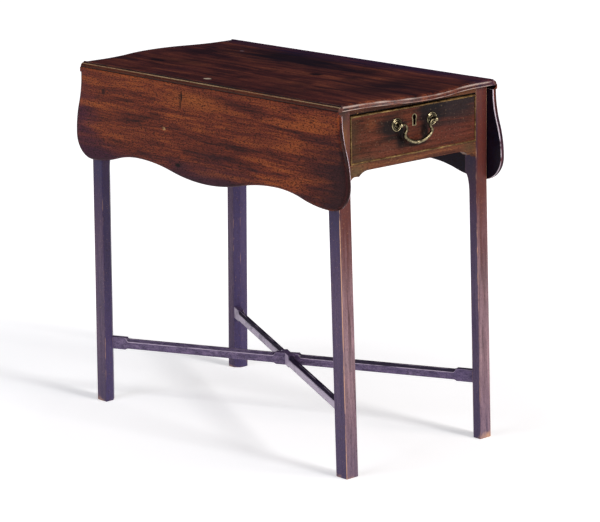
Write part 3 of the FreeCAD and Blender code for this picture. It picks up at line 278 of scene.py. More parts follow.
# faded legs: pinkish grey fronts, sides painted violet-dark as shade, and orange lines on the rubbed corners
frameMahogany = makeWood("mahoganyFrame", {
    **woodBase, "grain": "Z", "colours": ("#4e3a40", "#775c64", "#93767c"), "poreColour": "#33242c",
    "ageColour": "#63575c", "wearColour": "#c89a78", "streakMm": (260, 8), "ribbonMm": (60, 2.6), "shadeColour": "#3c3459",
    "shadeShare": 0.85, "ageShare": 0.6, "ageMm": 90, "speckShare": 0.2, "speckMm": 2.2, "poreShare": 0.4, "rubMm": 30,
    "rubFrom": 0.28, "gloss": 0.15,
    "marks": [
        # painted light: a violet cast from the bright floor towards the foot
        ((0, 0, 0), (endless, endless, 150), 0.5, "#5a4c66", 0.3, 0.3),
        ((0, 0, 720), (endless, endless, 420), 0.95, "#4e2018", 0.7, 0.3),
        # painted shade: the upper outer sides of the left legs, beside the hanging leaf
        ((-194.3, 0, 540), (3, endless, 150), 0.92, "#221a30", 0.5, 0.3),
        # painted shade: the back legs darker than the front ones
        ((0, 380, 300), (endless, 260, endless), 0.46, "#2e2650", 0.4, 0.3),
        ((-180, -367, 650), (20, 8, 80), 0.8, "#6a4220", 0.5, 0.9),
        ((-180, -367, 688), (20, 8, 34), 0.85, "#2c1c18", 0.4, 0.7),
        # painted shade on the inner side of the right front leg, under the bracket
        ((164.8, -350, 590), (6, 30, 120), 0.8, "#1c1730", 0.5, 0.3),
    ],
})
# brown rails, greenish with dirt at the brackets; painted shadow: black along the gap over the drawer under the top,
# and near-black at the back inside the frame
railMahogany = makeWood("mahoganyRail", {
    **woodBase, "grain": "X", "colours": ("#341c16", "#573022", "#6c4129"), "poreColour": "#22120e",
    "ageColour": "#3a2c20", "wearColour": "#a47a48", "streakMm": (200, 9), "ribbonMm": (90, 3), "speckShare": 0.4,
    "gloss": 0.06,
    "marks": [
        # painted shade: near-black on the back rail and back brackets inside the frame
        ((0, 290, 600), (endless, 64, endless), 0.95, "#0f0d16", 0.9, 0.1),
        # painted shadow along the gap over the drawer
        ((0, 0, 686.4), (endless, endless, 2.4), 0.95, "#0a0607", 0.6, 0.1),
        ((-150, -367, 580), (40, 60, 26), 0.8, "#55452e", 0.3, 0.6),
        ((148, -367, 584), (34, 60, 24), 0.8, "#3e3424", 0.3, 0.6),
    ],
})
# a dull red-brown front, blackened by hands round the handle and along its upper edge, with the bail's shadow painted
# under and beside it
drawerMahogany = makeWood("mahoganyDrawer", {
    **woodBase, "grain": "X", "colours": ("#2c150f", "#4c2518", "#643224"), "poreColour": "#180b08",
    "ageColour": "#31221a", "wearColour": "#74624e", "streakMm": (170, 10), "ribbonMm": (80, 3), "speckShare": 0.45,
    "speckMm": 3.4, "gloss": 0.05,
    "marks": [
        ((100, -367, 625), (120, 60, 40), 0.7, "#45221d", 0.4, 0.6),
        ((-70, -367, 612), (70, 60, 20), 0.5, "#5e3428", 0.2, 0.6),
        ((-112, -367, 664), (22, 60, 16), 0.5, "#7a4428", 0.1, 0.7),
        ((0, -367, 690), (900, 60, 17), 0.75, "#17100f", 0.3, 0.6),
        ((112, -367, 680), (134, 60, 58), 0.95, "#211b1d", 0.8, 0.8),
        ((44, -367, 664), (56, 60, 36), 0.95, "#141113", 0.8, 0.7),
        ((-58, -367, 648), (52, 60, 34), 0.95, "#151112", 0.75, 0.8),
        # painted shadow of the bail, beside and under it
        ((-34, -367, 630), (20, 60, 30), 0.95, "#100b0c", 0.7, 0.5),
        ((4, -367, 612), (46, 60, 9), 0.85, "#140d0c", 0.6, 0.5),
        ((27, -367, 632), (13, 60, 26), 0.9, "#120c0c", 0.7, 0.5),
        ((0, -367, 646), (15, 60, 26), 0.5, "#48231a", 0.4, 0.5),
        ((-160, -367, 640), (26, 60, 80), 0.8, "#362a1c", 0.3, 0.6),
        ((-130, -367, 598), (60, 60, 14), 0.7, "#46382a", 0.3, 0.6),
    ],
})
# worn straw-coloured beading that draws a light line round the drawer
beadMahogany = makeWood("mahoganyBead", {
    **woodBase, "grain": "X", "colours": ("#3a2614", "#6c5230", "#967a4c"), "poreColour": "#22150c",
    "ageColour": "#26170c", "wearColour": "#a08248", "streakMm": (26, 6), "ribbonMm": (14, 4), "ageMm": 50,
    "ageShare": 0.75,
    "marks": [
        # painted shadow along the top of the bead, in the gap under the rail
        ((0, -367, 686), (endless, 60, 3), 0.7, "#160e09", 0.5, 0.8),
    ],
})
# cool violet-grey bars with painted shade on top, pale edges that are partly rubbed and partly painted highlight, and
# one side of the rising bar painted pale as if lit
stretcherMahogany = makeWood("mahoganyStretcher", {
    **woodBase, "colours": ("#3c2e4a", "#5a4a68", "#73617e"), "poreColour": "#1e1420", "ageColour": "#463a62",
    "wearColour": "#b4a4b6", "streakMm": (200, 8), "ribbonMm": (90, 3), "rubMm": 45, "rubFrom": 0.28,
    "shadeColour": "#160c22", "shadeShare": 0.9, "gloss": 0.3,
})
# painted shade: wood under the top coloured almost black, as it looks in deep shade
liningInShade = makeWood("oakLiningInShade", {
    **woodBase, "colours": ("#0f0e19", "#171524", "#1f1c2b"), "poreColour": "#0a0910", "ageColour": "#12101c",
    "wearColour": "#2a2226", "rough": (0.7, 0.85), "gloss": 0.03,
})
# dry, plain yellow-brown wood inside the drawer
drawerLining = makeWood("oakDrawer", {
    **woodBase, "colours": ("#4a3420", "#684c30", "#7e6040"), "poreColour": "#3a2818", "ageColour": "#3f2c1e",
    "wearColour": "#94744e", "rough": (0.55, 0.75), "gloss": 0.15,
})
print("wood ready")


# metal

def makeMetal(name, look):
    # old metal: clean on the rubbed high places, brown to black in the hollows
    material, tree, shader = newMaterial(name)
    coord = addNode(tree, "ShaderNodeTexCoord").outputs["Object"]
    tarnish = addNode(tree, "ShaderNodeTexNoise", {"Scale": 1 / (look["tarnishMm"] * mm), "Detail": 4.0},
                      {"Vector": coord})
    wear = addNode(tree, "ShaderNodeAttribute", attribute_name="wear")
    clean = addNode(tree, "ShaderNodeMath", {1: look["wearPart"]}, {0: wear.outputs["Fac"], 2: tarnish.outputs["Fac"]},
                    operation="MULTIPLY_ADD")
    ramp = addNode(tree, "ShaderNodeValToRGB", None, {"Fac": clean.outputs[0]})
    elements = ramp.color_ramp.elements
    elements.new(0.5)
    for element, place, colour in zip(elements, look["rampAt"], look["colours"]):
        element.position = place
        element.color = linear(colour)
    smooth, dull = look["rough"]
    polish = addNode(tree, "ShaderNodeMapRange", {"From Min": look["polishBand"][0], "From Max": look["polishBand"][1],
                                                  "To Min": dull, "To Max": smooth}, {"Value": clean.outputs[0]})
    tree.links.new(ramp.outputs[0], shader.inputs["Base Color"])
    tree.links.new(polish.outputs[0], shader.inputs["Roughness"])
    shader.inputs["Metallic"].default_value = 1.0
    return material


metalBase = {"wearPart": 0.55, "rampAt": (0.25, 0.55, 0.95), "polishBand": (0.3, 1.0)}
# dark olive brass that glints where it is rubbed
agedBrass = makeMetal("brassAged", {
    **metalBase, "tarnishMm": 4, "colours": ("#0e0c0a", "#362f23", "#93886a"), "rough": (0.25, 0.62),
})
# brown-grey iron with hardly a shine
dullIron = makeMetal("ironDull", {
    **metalBase, "tarnishMm": 6, "colours": ("#1d1918", "#38302c", "#5c5148"), "rough": (0.45, 0.7),
})
print("metal ready")


# outlines

def arcPoints(start, end, radius, count):
    # points after start, up to end, on an arc: a positive radius turns left, a negative one right
    start, end = np.array(start, float), np.array(end, float)
    chord = end - start
    half = np.hypot(*chord) / 2
    side = np.array([-chord[1], chord[0]]) / (2 * half) * np.sign(radius)
    centre = (start + end) / 2 + side * math.sqrt(max(radius * radius - half * half, 0))
    first = math.atan2(*(start - centre)[::-1])
    sweep = (math.atan2(*(end - centre)[::-1]) - first) % (2 * math.pi)
    if radius < 0:
        sweep -= 2 * math.pi
    angle = first + sweep * np.arange(1, count + 1) / count
    return centre + abs(radius) * np.stack([np.cos(angle), np.sin(angle)], axis=1)


def doubleCurve(start, end, count, vertical):
    # two equal arcs that meet halfway, level (or upright) at both ends: radius (run^2 + rise^2) / (4 rise)
    run, rise = np.array(end, float) - np.array(start, float)
    if vertical:
        run, rise = rise, run
    radius = (run * run + rise * rise) / (4 * abs(rise))
    turn = np.sign(run) * np.sign(rise) * (-1 if vertical else 1)
    middle = (np.array(start, float) + np.array(end, float)) / 2
    return np.concatenate([arcPoints(start, middle, turn * radius, count), arcPoints(middle, end, -turn * radius, count)])


def outwardNormals(path):
    # for a closed loop that runs anticlockwise, the middle of its neighbours' directions turned right
    ahead = np.roll(path, -1, axis=0) - np.roll(path, 1, axis=0)
    normal = np.stack([ahead[:, 1], -ahead[:, 0]], axis=1)
    return normal / np.linalg.norm(normal, axis=1, keepdims=True)


# shares for the seven points of an eased corner: the most of the shorter side that the bend and its outer points may
# take, the corner's wear, and the painted shade of the side after it against the side before it
eased = {"bendMost": 0.4, "apartMost": 0.45, "wear": (0, 0.4, 1, 1, 1, 0.4, 0), "paintedShade": (0, 0, 0.2, 0.5, 0.8, 1, 1)}


def easedCorners(corner, ease, apart, wear, paintedShade):
    # each corner of the loops (k, n, 2) becomes seven points: one on each side at a little distance, and five on a bend
    # between them, p + ease ((1 - b)^2 back + b^2 ahead); wear is given by corner and painted shade by the side after
    # it
    before, after = np.roll(corner, 1, axis=1) - corner, np.roll(corner, -1, axis=1) - corner
    lengthBefore = np.linalg.norm(before, axis=2, keepdims=True)
    lengthAfter = np.linalg.norm(after, axis=2, keepdims=True)
    shorter = np.minimum(lengthBefore, lengthAfter)
    bend, reach = np.minimum(ease, eased["bendMost"] * shorter), np.minimum(apart, eased["apartMost"] * shorter)
    before, after = before / lengthBefore, after / lengthAfter
    rounded = [corner + bend * ((1 - b) ** 2 * before + b ** 2 * after) for b in np.linspace(0, 1, 5)]
    loop = np.stack([corner + reach * before, *rounded, corner + reach * after], axis=2)
    rub = np.array(wear)[:, None] * eased["wear"]
    share = np.array(eased["paintedShade"])
    side = np.roll(paintedShade, 1)[:, None] * (1 - share) + np.array(paintedShade)[:, None] * share
    return loop.reshape(len(corner), -1, 2), rub.reshape(-1), side.reshape(-1)


# top board

topBoard = {
    "height": 711, "thick": 12, "jointHalf": 198.3, "halfLength": 381.5, "bow": 26.2, "bowHalf": 162,
    "jointFillet": 2, "jointRadius": 8, "steps": 14,
    # between the ends the board is cut back to bandFrom for bandHalf each way, and a band with the hinge housings fills
    # each long side; changes of section along it take one seam, and its sawn ends another; a point this close to a line
    # counts as on it
    "bandFrom": 160, "bandHalf": 321.5, "hingeAt": 250, "hingeHalf": 19.6, "seam": 0.2, "sawnSeam": 0.3, "close": 0.1,
    # the band's step: how far it laps on the board, its arris, how proud it stands, its foot over the round, and how far
    # in and down its inner edge lies at an end
    "lap": 3, "arris": 0.5, "proud": 0.02, "stepFoot": 0.6, "sunk": (3.4, 0.1),
    "quarterTurn": (90, 84, 76, 66, 56, 46, 36, 26, 16, 8, 0),
    # wear of the points of the band's step, quarter round and underside; the dark at the step's foot, at both ends of
    # the quarter round and under the joint is dirt and painted shade in the creases
    "stepWear": (0, 0, 0.1, -0.7, -1), "quarterWear": (-1, -0.6, 0, 0, 0, 0, 0, 0, 0, -0.5, -1),
    "underWear": (-1, -1, -1, 0, 0, 0, 0, 0, 0),
    # underside of the band from the joint inwards, as distance from the middle and height
    "under": {
        "plain": [(206.3, 700.4), (205.7, 699), (202.6, 699), (202.1, 699), (194.5, 699), (194, 699), (164.8, 699),
                  (164.3, 699), (160, 699)],
        "hinge": [(206.25, 701.2), (205.7, 701.2), (202.1, 701.2), (202.1, 704.8), (194.5, 704.8), (194.5, 701),
                  (164.3, 701), (164.3, 699), (160, 699)],
        "end": [(206.3, 700.4), (205.7, 699), (202.6, 699), (202.1, 699), (197.5, 699), (197.2, 699), (196.9, 699),
                (196.6, 699), (196.3, 699)],
    },
    # rounded ends with a square foot, as inset from the edge, drop below the top and wear; the pale lines on the
    # rounding are partly wear and partly painted highlight
    "endProfile": [(2, 12, 0), (0.6, 11.8, 0.2), (0.15, 11.3, 0.7), (0, 10.6, 0.7), (0, 9.8, 0.3), (0.1, 9, -0.3),
                   (0.4, 8.6, -0.8), (0.5, 7.8, -0.3), (0.7, 6.2, 0.45), (1.3, 4.4, 0.74), (2.4, 2.8, 0.5),
                   (3.8, 1.6, 0.1), (5.2, 0.8, 0.2), (6.4, 0.25, 0.45), (7.4, 0, 0.2), (10, -0.01, 0)],
}


def endOfTop(side):
    # one end's edge from its right-hand corner to its left-hand one, as seen from outside it
    half, length, bow = topBoard["bowHalf"], topBoard["halfLength"], topBoard["bow"]
    count = topBoard["steps"]
    right = doubleCurve((half, length), (0, length + bow), count, False)
    left = doubleCurve((0, length + bow), (-half, length), count, False)
    edge = np.concatenate([[[topBoard["jointHalf"], length], [half, length]], right, left,
                           [[-topBoard["jointHalf"], length]]])
    return edge * side


def bandSection(kind):
    # across the joint: out to the top's arris, down its square step, round the quarter round and back along the underside
    edge, high, radius = topBoard["jointHalf"], topBoard["height"], topBoard["jointRadius"]
    lap, arris, proud = topBoard["lap"], topBoard["arris"], topBoard["proud"]
    pin = high - topBoard["jointFillet"] - radius
    sunkIn, sunkDown = topBoard["sunk"]
    inner = (edge - sunkIn, high - sunkDown) if kind == "end" else (topBoard["bandFrom"], high)
    turn = np.radians(topBoard["quarterTurn"])
    quarter = np.stack([edge + radius * np.cos(turn), pin + radius * np.sin(turn)], axis=1)
    under = np.array(topBoard["under"][kind], float)
    quarter[-1, 1] = max(pin, under[0, 1])
    step = [inner, (edge - lap, high + proud), (edge - arris, high + proud), (edge + proud, high - arris),
            (edge + proud, pin + radius + topBoard["stepFoot"])]
    return np.concatenate([step, quarter, under])


def buildTop():
    # the board's outline carried up its end profile, and along each long side a band: sections of the rule joint at
    # stations along the edge, cut away below where a hinge is let in
    long, half, close = topBoard["jointHalf"], topBoard["bandHalf"], topBoard["close"]
    notch = np.array([(-long, half), (-topBoard["bandFrom"], half), (-topBoard["bandFrom"], -half), (-long, -half)])
    path = np.concatenate([endOfTop(1), notch, endOfTop(-1), -notch])
    normal = outwardNormals(path)
    atCorner = np.abs(path[:, 0]) > long - close  # the long edges stay square
    normal[atCorner] = np.column_stack([np.zeros(atCorner.sum()), np.sign(path[atCorner, 1])])
    normal[np.abs(path[:, 1]) < half + close] = 0
    inset, drop, wear = np.array(topBoard["endProfile"]).T
    flat = path[None] - inset[:, None, None] * normal[None]
    level = np.full(flat.shape[:2] + (1,), topBoard["height"]) - drop[:, None, None]
    # painted shade: the underside takes the near-black shade colour
    below = np.where(drop > topBoard["thick"] - close, 1.0, 0.0)
    shells = [ringShell(np.concatenate([flat, level], axis=2), wear[:, None], below[:, None])]
    at, reach, seam, length = topBoard["hingeAt"], topBoard["hingeHalf"], topBoard["seam"], topBoard["halfLength"]
    stations = [(length, "end"), (length - topBoard["sawnSeam"], "end"), (half + seam, "end"), (half, "plain"),
                (at + reach + seam, "plain"), (at + reach, "hinge"), (at - reach, "hinge"), (at - reach - seam, "plain")]
    stations += [(-y, kind) for y, kind in stations[::-1]]
    outside = np.concatenate([topBoard["stepWear"], topBoard["quarterWear"]])
    rub = np.concatenate([outside, topBoard["underWear"]])
    # painted shade on the band's underside
    shade = np.concatenate([np.zeros_like(outside), np.ones(len(topBoard["underWear"]))])
    used = np.ones((len(stations), 1))
    used[[0, -1]] = 0  # the sawn ends have no wear, dirt or painted shade
    for side in (-1, 1):
        rings = np.stack([np.insert(bandSection(kind) * [side, 1], 1, y * side, axis=1) for y, kind in stations])
        shells.append(ringShell(rings, rub * used, shade * used))
    makePiece("topBoard", shells, topMahogany, "frame", ["top_board"])


buildTop()


# leaves

leaf = {
    "pin": 701, "joint": 198.3, "out": 208.3, "gap": 0.4, "halfLength": 381.5, "flareStart": 10,
    # ear: half length, radius and drop; hollow of the lower edge: place and drop; belly in the middle: drop
    "ear": (403, 49, 188), "hollow": (205, 166), "belly": 190, "steps": 14,
    # cove and lip over the outline, with the lip's arris and the wear and painted shade of its points
    "cove": 8.5, "coveSteps": 13, "lip": (0.7, 2.2), "lipWear": (-1, -0.4, 0, 0, 0), "lipShade": (0.5, 0, 0, 0, 0),
    "sawnSeam": 0.3,
    "wearAndHighlight": ((510, 550, 600, 670, 700), (0.72, 0.68, 1, 1, 0.7)),  # heights, and how strongly the edge's lines show there: partly wear, partly painted highlight
    # rounded edge, as inset from the outline, depth behind the outer face, wear (the pale line on the back arris partly
    # painted highlight) and how far the painted shade of the inside shows; the inside stays a hair behind the hinge
    # plates' faces
    "edgeProfile": [(2.2, 11.85, 0.1, 1), (0.9, 11.7, 0.8, 0.7), (0.2, 11.2, 1, 0.1), (0, 10.4, 0.9, 0), (0, 9.2, -0.3, 0),
                    (0, 7, -0.6, 0), (0.1, 5.4, -0.7, 0), (0.5, 3.6, -0.4, 0), (1.3, 2, 0.35, 0), (2.4, 0.9, 0, 0),
                    (3.8, 0.3, -0.5, 0), (5.4, 0.02, -0.3, 0), (8, 0, 0, 0)],
}


def leafOutline():
    # anticlockwise in (y, z): down the far ear, along the shaped lower edge and up the near ear
    pin, half, count = leaf["pin"], leaf["halfLength"], leaf["steps"]
    wide, radius, drop = leaf["ear"]
    place, depth = leaf["hollow"]
    top = pin - leaf["flareStart"]
    side, low = pin - drop + radius, wide - radius
    right = np.concatenate([
        [[half, top]],
        doubleCurve((half, top), (wide, side), count, True),
        arcPoints((wide, side), (low, pin - drop), -radius, 2 * count),
        doubleCurve((low, pin - drop), (place, pin - depth), count, False),
        doubleCurve((place, pin - depth), (0, pin - leaf["belly"]), count, False),
    ])
    left = right[-2::-1] * [-1, 1]
    return np.concatenate([right, left])[::-1]


def buildLeaf(name, side):
    # the leaf's outline carried across its edge profile, with a coved strip over it: a hollow quarter round up to a lip
    path = leafOutline()
    normal = outwardNormals(path)
    normal[[0, -1]] = [[-1, 0], [1, 0]]  # the edge under the cove stays square
    inset, behind, wear, inner = np.array(leaf["edgeProfile"]).T
    flat = path[None] - inset[:, None, None] * normal[None]
    depth = np.full(flat.shape[:2] + (1,), leaf["out"]) - behind[:, None, None]
    rings = np.concatenate([depth * side, flat], axis=2)
    # the lines on the edge, partly wear and partly painted highlight, are brightest below the joint and dull round the
    # ear
    wearAndHighlight = np.interp(path[:, 1], *leaf["wearAndHighlight"])
    rub = np.where(wear[:, None] > 0, wear[:, None] * wearAndHighlight, wear[:, None])
    shells = [ringShell(rings[:, ::side], rub[:, ::side], inner[:, None])]
    turn = np.linspace(-math.pi / 2, 0, leaf["coveSteps"])
    cove = np.stack([leaf["joint"] + leaf["cove"] * np.cos(turn), leaf["pin"] + leaf["cove"] * np.sin(turn)], axis=1)
    out, lip = leaf["out"], leaf["pin"] - leaf["gap"]
    arris, below = leaf["lip"]
    cove[-1, 1] = lip
    section = np.concatenate([cove, [[out - arris, lip], [out, lip - arris], [out, lip - below],
                                     [out, leaf["pin"] - leaf["flareStart"]]]])
    # dirt and painted shade: the cove in the gap is painted dark
    hidden = np.ones(leaf["coveSteps"] - 1)
    rub, shade = np.concatenate([-hidden, leaf["lipWear"]]), np.concatenate([hidden, leaf["lipShade"]])
    half, seam = leaf["halfLength"], leaf["sawnSeam"]
    rings = np.stack([np.insert(section * [side, 1], 1, y * side, axis=1)
                      for y in (-half, seam - half, half - seam, half)])
    used = np.array([[0], [1], [1], [0]])  # the sawn ends have no wear, dirt or painted shade
    shells.append(ringShell(rings, rub * used, shade * used))
    makePiece(name + "_board", shells, leafMahogany, name, [name])


buildLeaf("leaf_left", -1)
buildLeaf("leaf_right", 1)
print("top and leaves ready")


# legs

leg = {
    "width": 29.5, "centre": (179.55, 352.55), "splay": 12, "ease": 1.2, "apart": 3.6, "sharpAngle": 50,
    "chamfer": 10.5, "leastChamfer": 0.4, "chamferTop": 529, "runout": 42,
    "foot": (0.5, 0.8),  # below this height the section is drawn in by this much
    "levels": (0, 0.9, 5, 14, 28, 45, 90, 150, 260, 370, 450), "stopSteps": 10, "upper": (540, 579, 640, 699),
    # wear on the outside corner and on round, then the painted shade of each side after its corner
    "wear": {"front": (1, 0.62, 0.62, 0.62, 0.62), "back": (1, 0.54, 0.52, 0.52, 0.54)},
    "shade": {"front": (0, 0.85, 0.85, 0.45, 0.85), "back": (0, 0.35, 1, 0.97, 0.3)},
    "scuff": (45, 0.66),  # height of the scuffed foot, and its wear at the floor
    "shadeFade": ((440, 540), (1, 0.3)),  # heights, and how much of the painted shade of the sides is left there
}


def legRings(end):
    # a square whose inside corner is cut by c = chamfer sqrt(1 - t^2), so that the cut runs out on an arc below the
    # frieze; below the stop each level moves out along the table by splay (1 - z / stop)
    stop, run = leg["chamferTop"], leg["runout"]
    rise = np.linspace(0, 1, leg["stopSteps"] + 1)
    levels = np.concatenate([leg["levels"], stop - run + run * rise, leg["upper"]])
    t = np.clip((levels - stop + run) / run, 0, 1)
    c = np.maximum(leg["chamfer"] * np.sqrt(np.clip(1 - t * t, 0, 1)), leg["leastChamfer"])[:, None]
    low, drawnIn = leg["foot"]
    s = np.where(levels < low, leg["width"] / 2 - drawnIn, leg["width"] / 2)[:, None]
    # corners from the outside one, anticlockwise, with the inside corner at (-, -) cut off
    corner = np.stack([np.hstack([s, s]), np.hstack([-s, s]), np.hstack([-s, c - s]), np.hstack([c - s, -s]),
                       np.hstack([s, -s])], axis=1)
    flat, wear, shade = easedCorners(corner, leg["ease"], leg["apart"], leg["wear"][end], leg["shade"][end])
    flat[..., 1] += leg["splay"] * np.clip(1 - levels / stop, 0, 1)[:, None]
    z = np.broadcast_to(levels[:, None, None], flat.shape[:2] + (1,))
    high, most = leg["scuff"]
    rub = np.maximum(wear, most * np.clip(1 - levels / high, 0, 1)[:, None])
    return np.concatenate([flat, z], axis=2), rub, shade * np.interp(levels, *leg["shadeFade"])[:, None]


def buildLegs():
    # the rings mirrored to the four corners, with the faces turned over where the mirror would turn them in
    for end, sideY in (("front", -1), ("back", 1)):
        rings, wear, shade = legRings(end)
        for hand, sideX in (("left", -1), ("right", 1)):
            placed = rings * [sideX, sideY, 1] + [sideX * leg["centre"][0], sideY * leg["centre"][1], 0]
            shell = ringShell(placed, wear, shade)
            name = f"leg_{end}_{hand}"
            makePiece(name + "_worn", [flipped(shell) if sideX * sideY < 0 else shell], frameMahogany,
                      "frame", [name], leg["sharpAngle"])


buildLegs()
print("legs ready")


# crossed stretchers

stretcher = {
    "low": 111.5, "high": 136.5, "width": 13, "foot": (170.05, 352.237), "intoLeg": 6, "block": 31, "crossing": 48,
    "relief": 6, "reliefSteps": 6, "barSteps": 9, "barLow": 114, "barHigh": 134.5,
    "chamfer": (4.2, 6.2), "leastChamfer": 0.4, "ease": 1, "apart": 1.4, "sharpAngle": 30,
    "lapEnd": 9, "lapHalf": 12, "lap": 0.4,  # where the two are halved together, one face sits lower by the lap
    # wear by corner from the lower left, looking along the bar, its pale lines partly painted highlight, and the
    # painted shade of the side after it: left, left chamfer, top, right chamfer, right and under
    "wear": (0.2, 0.95, 0.7, 0.7, 0.95, 0.3), "shade": (0, 1, 1, 1, 0, 0.5), "blockShade": 0.15,
    "shadeAlong": ((-40, 40), (1, 0.45)),  # places along the table, and how much of the painted shade the falling one has there
    "litSide": 0.95,  # painted light: wear given to the left-hand side of the rising one so that it shows pale, as if lit
}


def buildStretcher(name, foot, upper):
    # a section carried along the bar: square at the blocks, and between them lower and chamfered, u = 0 at a block
    # and 1 on the bar, with heights barHigh + (high - barHigh)(1 - u)^2
    reach = math.hypot(*foot)
    half = stretcher["crossing"] / 2
    blend = np.linspace(0, 1, stretcher["reliefSteps"])
    run = stretcher["relief"]
    barEnd = reach - stretcher["block"] - run
    along = np.linspace(half + run, barEnd, stretcher["barSteps"])[1:-1]
    s = np.concatenate([[0.0, stretcher["lapEnd"]], half + run * blend, along,
                        barEnd + run * blend, [reach, reach + stretcher["intoLeg"]]])
    u = np.concatenate([[0, 0], blend, np.ones_like(along), 1 - blend, [0, 0]])
    s, u = np.concatenate([-s[:0:-1], s]), np.concatenate([u[:0:-1], u])
    fall = (1 - u) ** 2
    atCrossing = np.where(np.abs(s) < stretcher["lapHalf"], stretcher["lap"], 0)
    high = stretcher["barHigh"] + (stretcher["high"] - stretcher["barHigh"]) * fall - (0 if upper else atCrossing)
    low = stretcher["barLow"] + (stretcher["low"] - stretcher["barLow"]) * fall + (atCrossing if upper else 0)
    w = np.full_like(s, stretcher["width"] / 2)
    across, down = [np.maximum(size * u, stretcher["leastChamfer"]) for size in stretcher["chamfer"]]
    corner = np.stack([np.stack(pair, axis=1) for pair in (
        (-w, low), (w, low), (w, high - down), (w - across, high), (across - w, high), (-w, high - down))], axis=1)
    corner = np.roll(corner, -1, axis=1)
    flat, wear, shade = easedCorners(corner, stretcher["ease"], stretcher["apart"], stretcher["wear"],
                                     stretcher["shade"])
    # painted light: the rising one's left-hand side is made pale
    if upper:
        wear[[6, 7]] = stretcher["litSide"]  # the last point of the first corner and the first of the second
    ahead = np.array(foot) / reach
    aside = np.array([-ahead[1], ahead[0]])
    ground = s[:, None, None] * ahead + flat[..., :1] * aside
    rings = np.concatenate([ground, flat[..., 1:]], axis=2)
    # painted shade on the bar's tops and sides, less at the blocks and, on the falling one, less towards the back
    dark = np.broadcast_to(shade, flat.shape[:2]) * np.clip(u * 2, stretcher["blockShade"], 1)[:, None]
    if not upper:
        dark = dark * np.interp(ground[..., 1], *stretcher["shadeAlong"])
    makePiece(name + "_bar", [ringShell(rings, wear, dark)], stretcherMahogany, "frame", [name],
              stretcher["sharpAngle"])


footX, footY = stretcher["foot"]
buildStretcher("stretcher_rising", (footX, footY), True)
buildStretcher("stretcher_falling", (footX, -footY), False)
print("stretchers ready")


# brass of the drawer

brass = {
    "face": 366.8, "height": 654, "span": 46, "around": 40,
    # turned profiles, as radius, stand off the drawer's face and wear
    "rose": [(13, 0, 0), (13, 0.8, 0.5), (12.5, 1.6, 0.8), (11.6, 2, 0.9), (10.8, 1.7, 0.2), (10.2, 1.1, -0.6),
             (9.6, 1, -0.6), (9, 1.5, 0.4), (8.3, 1.8, 0.7), (7.6, 1.5, 0), (7, 1, -0.7), (6.2, 1.1, -0.7),
             (5.2, 1.8, 0.2), (4.3, 2.2, 0.5), (2.6, 2.3, 0)],
    "post": [(2.5, -26, 0), (2.5, 2, -0.5), (4, 2.2, 0.2), (4, 3.2, 0.5), (3.3, 4.2, -0.4), (3, 5.2, -0.5), (3.4, 6, 0.1)],
    # ball on the post: radius, stand, points, first and last angle, and wear as a mean and its change with the angle
    "ball": (5, 11, 10), "ballTurn": (-0.94, 1.5), "ballWear": (0.3, 0.6),
    # the bail: pin as end and radius, straight neck, then arcs as centre x, centre z, radius, first and last angle and
    # points
    "pin": (50, 1.8), "pinStep": 0.1, "neck": (40.5, 38),
    "arcs": [(38, -7.5, 7.5, 90, 180, 12), (39.5, -7.5, 9, 180, 225, 12), (27.83, -19.17, 7.5, 45, -50, 12),
             (0, 14, 50.8, -50, -90, 17)],
    # its radius swells between two shares of the way to the middle, where a knob has this growth and reach; wear as a
    # mean, its change round the section and its change along the bail
    "thick": (2.6, 3.5), "swell": (0.2, 0.7), "knob": (0.9, 3.4), "bailAround": 16, "bailWear": (-0.1, 0.6, 0.35),
    # keyhole: middle of its head, sizes, and a rim as growth, stand and wear
    "keyhole": {"height": 663, "head": 4.5, "half": 3, "length": 15, "steps": 25,
                "profile": [(0, -4, -1), (0, 0.2, 0.2), (0.5, 0.7, 0.8), (1.4, 0.7, 0.9), (1.9, 0.2, 0.5), (1.9, -4, 0)]},
}


def turned(profile, x):
    # a profile of radius and stand-off turned round a line square to the drawer's face
    radius, stand, wear = np.array(profile).T
    angle = np.arange(brass["around"]) * 2 * math.pi / brass["around"]
    r, h = radius[:, None], stand[:, None]
    rings = np.stack([x + r * np.cos(angle), np.broadcast_to(-brass["face"] - h, (len(r), len(angle))),
                      brass["height"] + r * np.sin(angle)], axis=2)
    return ringShell(rings, wear[:, None])


def buildRoses():
    # a rose and a post at each end of the handle; the post's ball is an arc added to its profile
    radius, stand, count = brass["ball"]
    turn = np.linspace(*brass["ballTurn"], count)
    mean, change = brass["ballWear"]
    ball = np.column_stack([radius * np.cos(turn), stand + radius * np.sin(turn), mean + change * np.sin(turn)])
    for name, profile, replaced in (("roses_turned", brass["rose"], "handle_roses"),
                                    ("posts_turned", brass["post"] + ball.tolist(), "handle_posts")):
        makePiece(name, [turned(profile, side * brass["span"]) for side in (-1, 1)], agedBrass, "drawer",
                  [replaced])


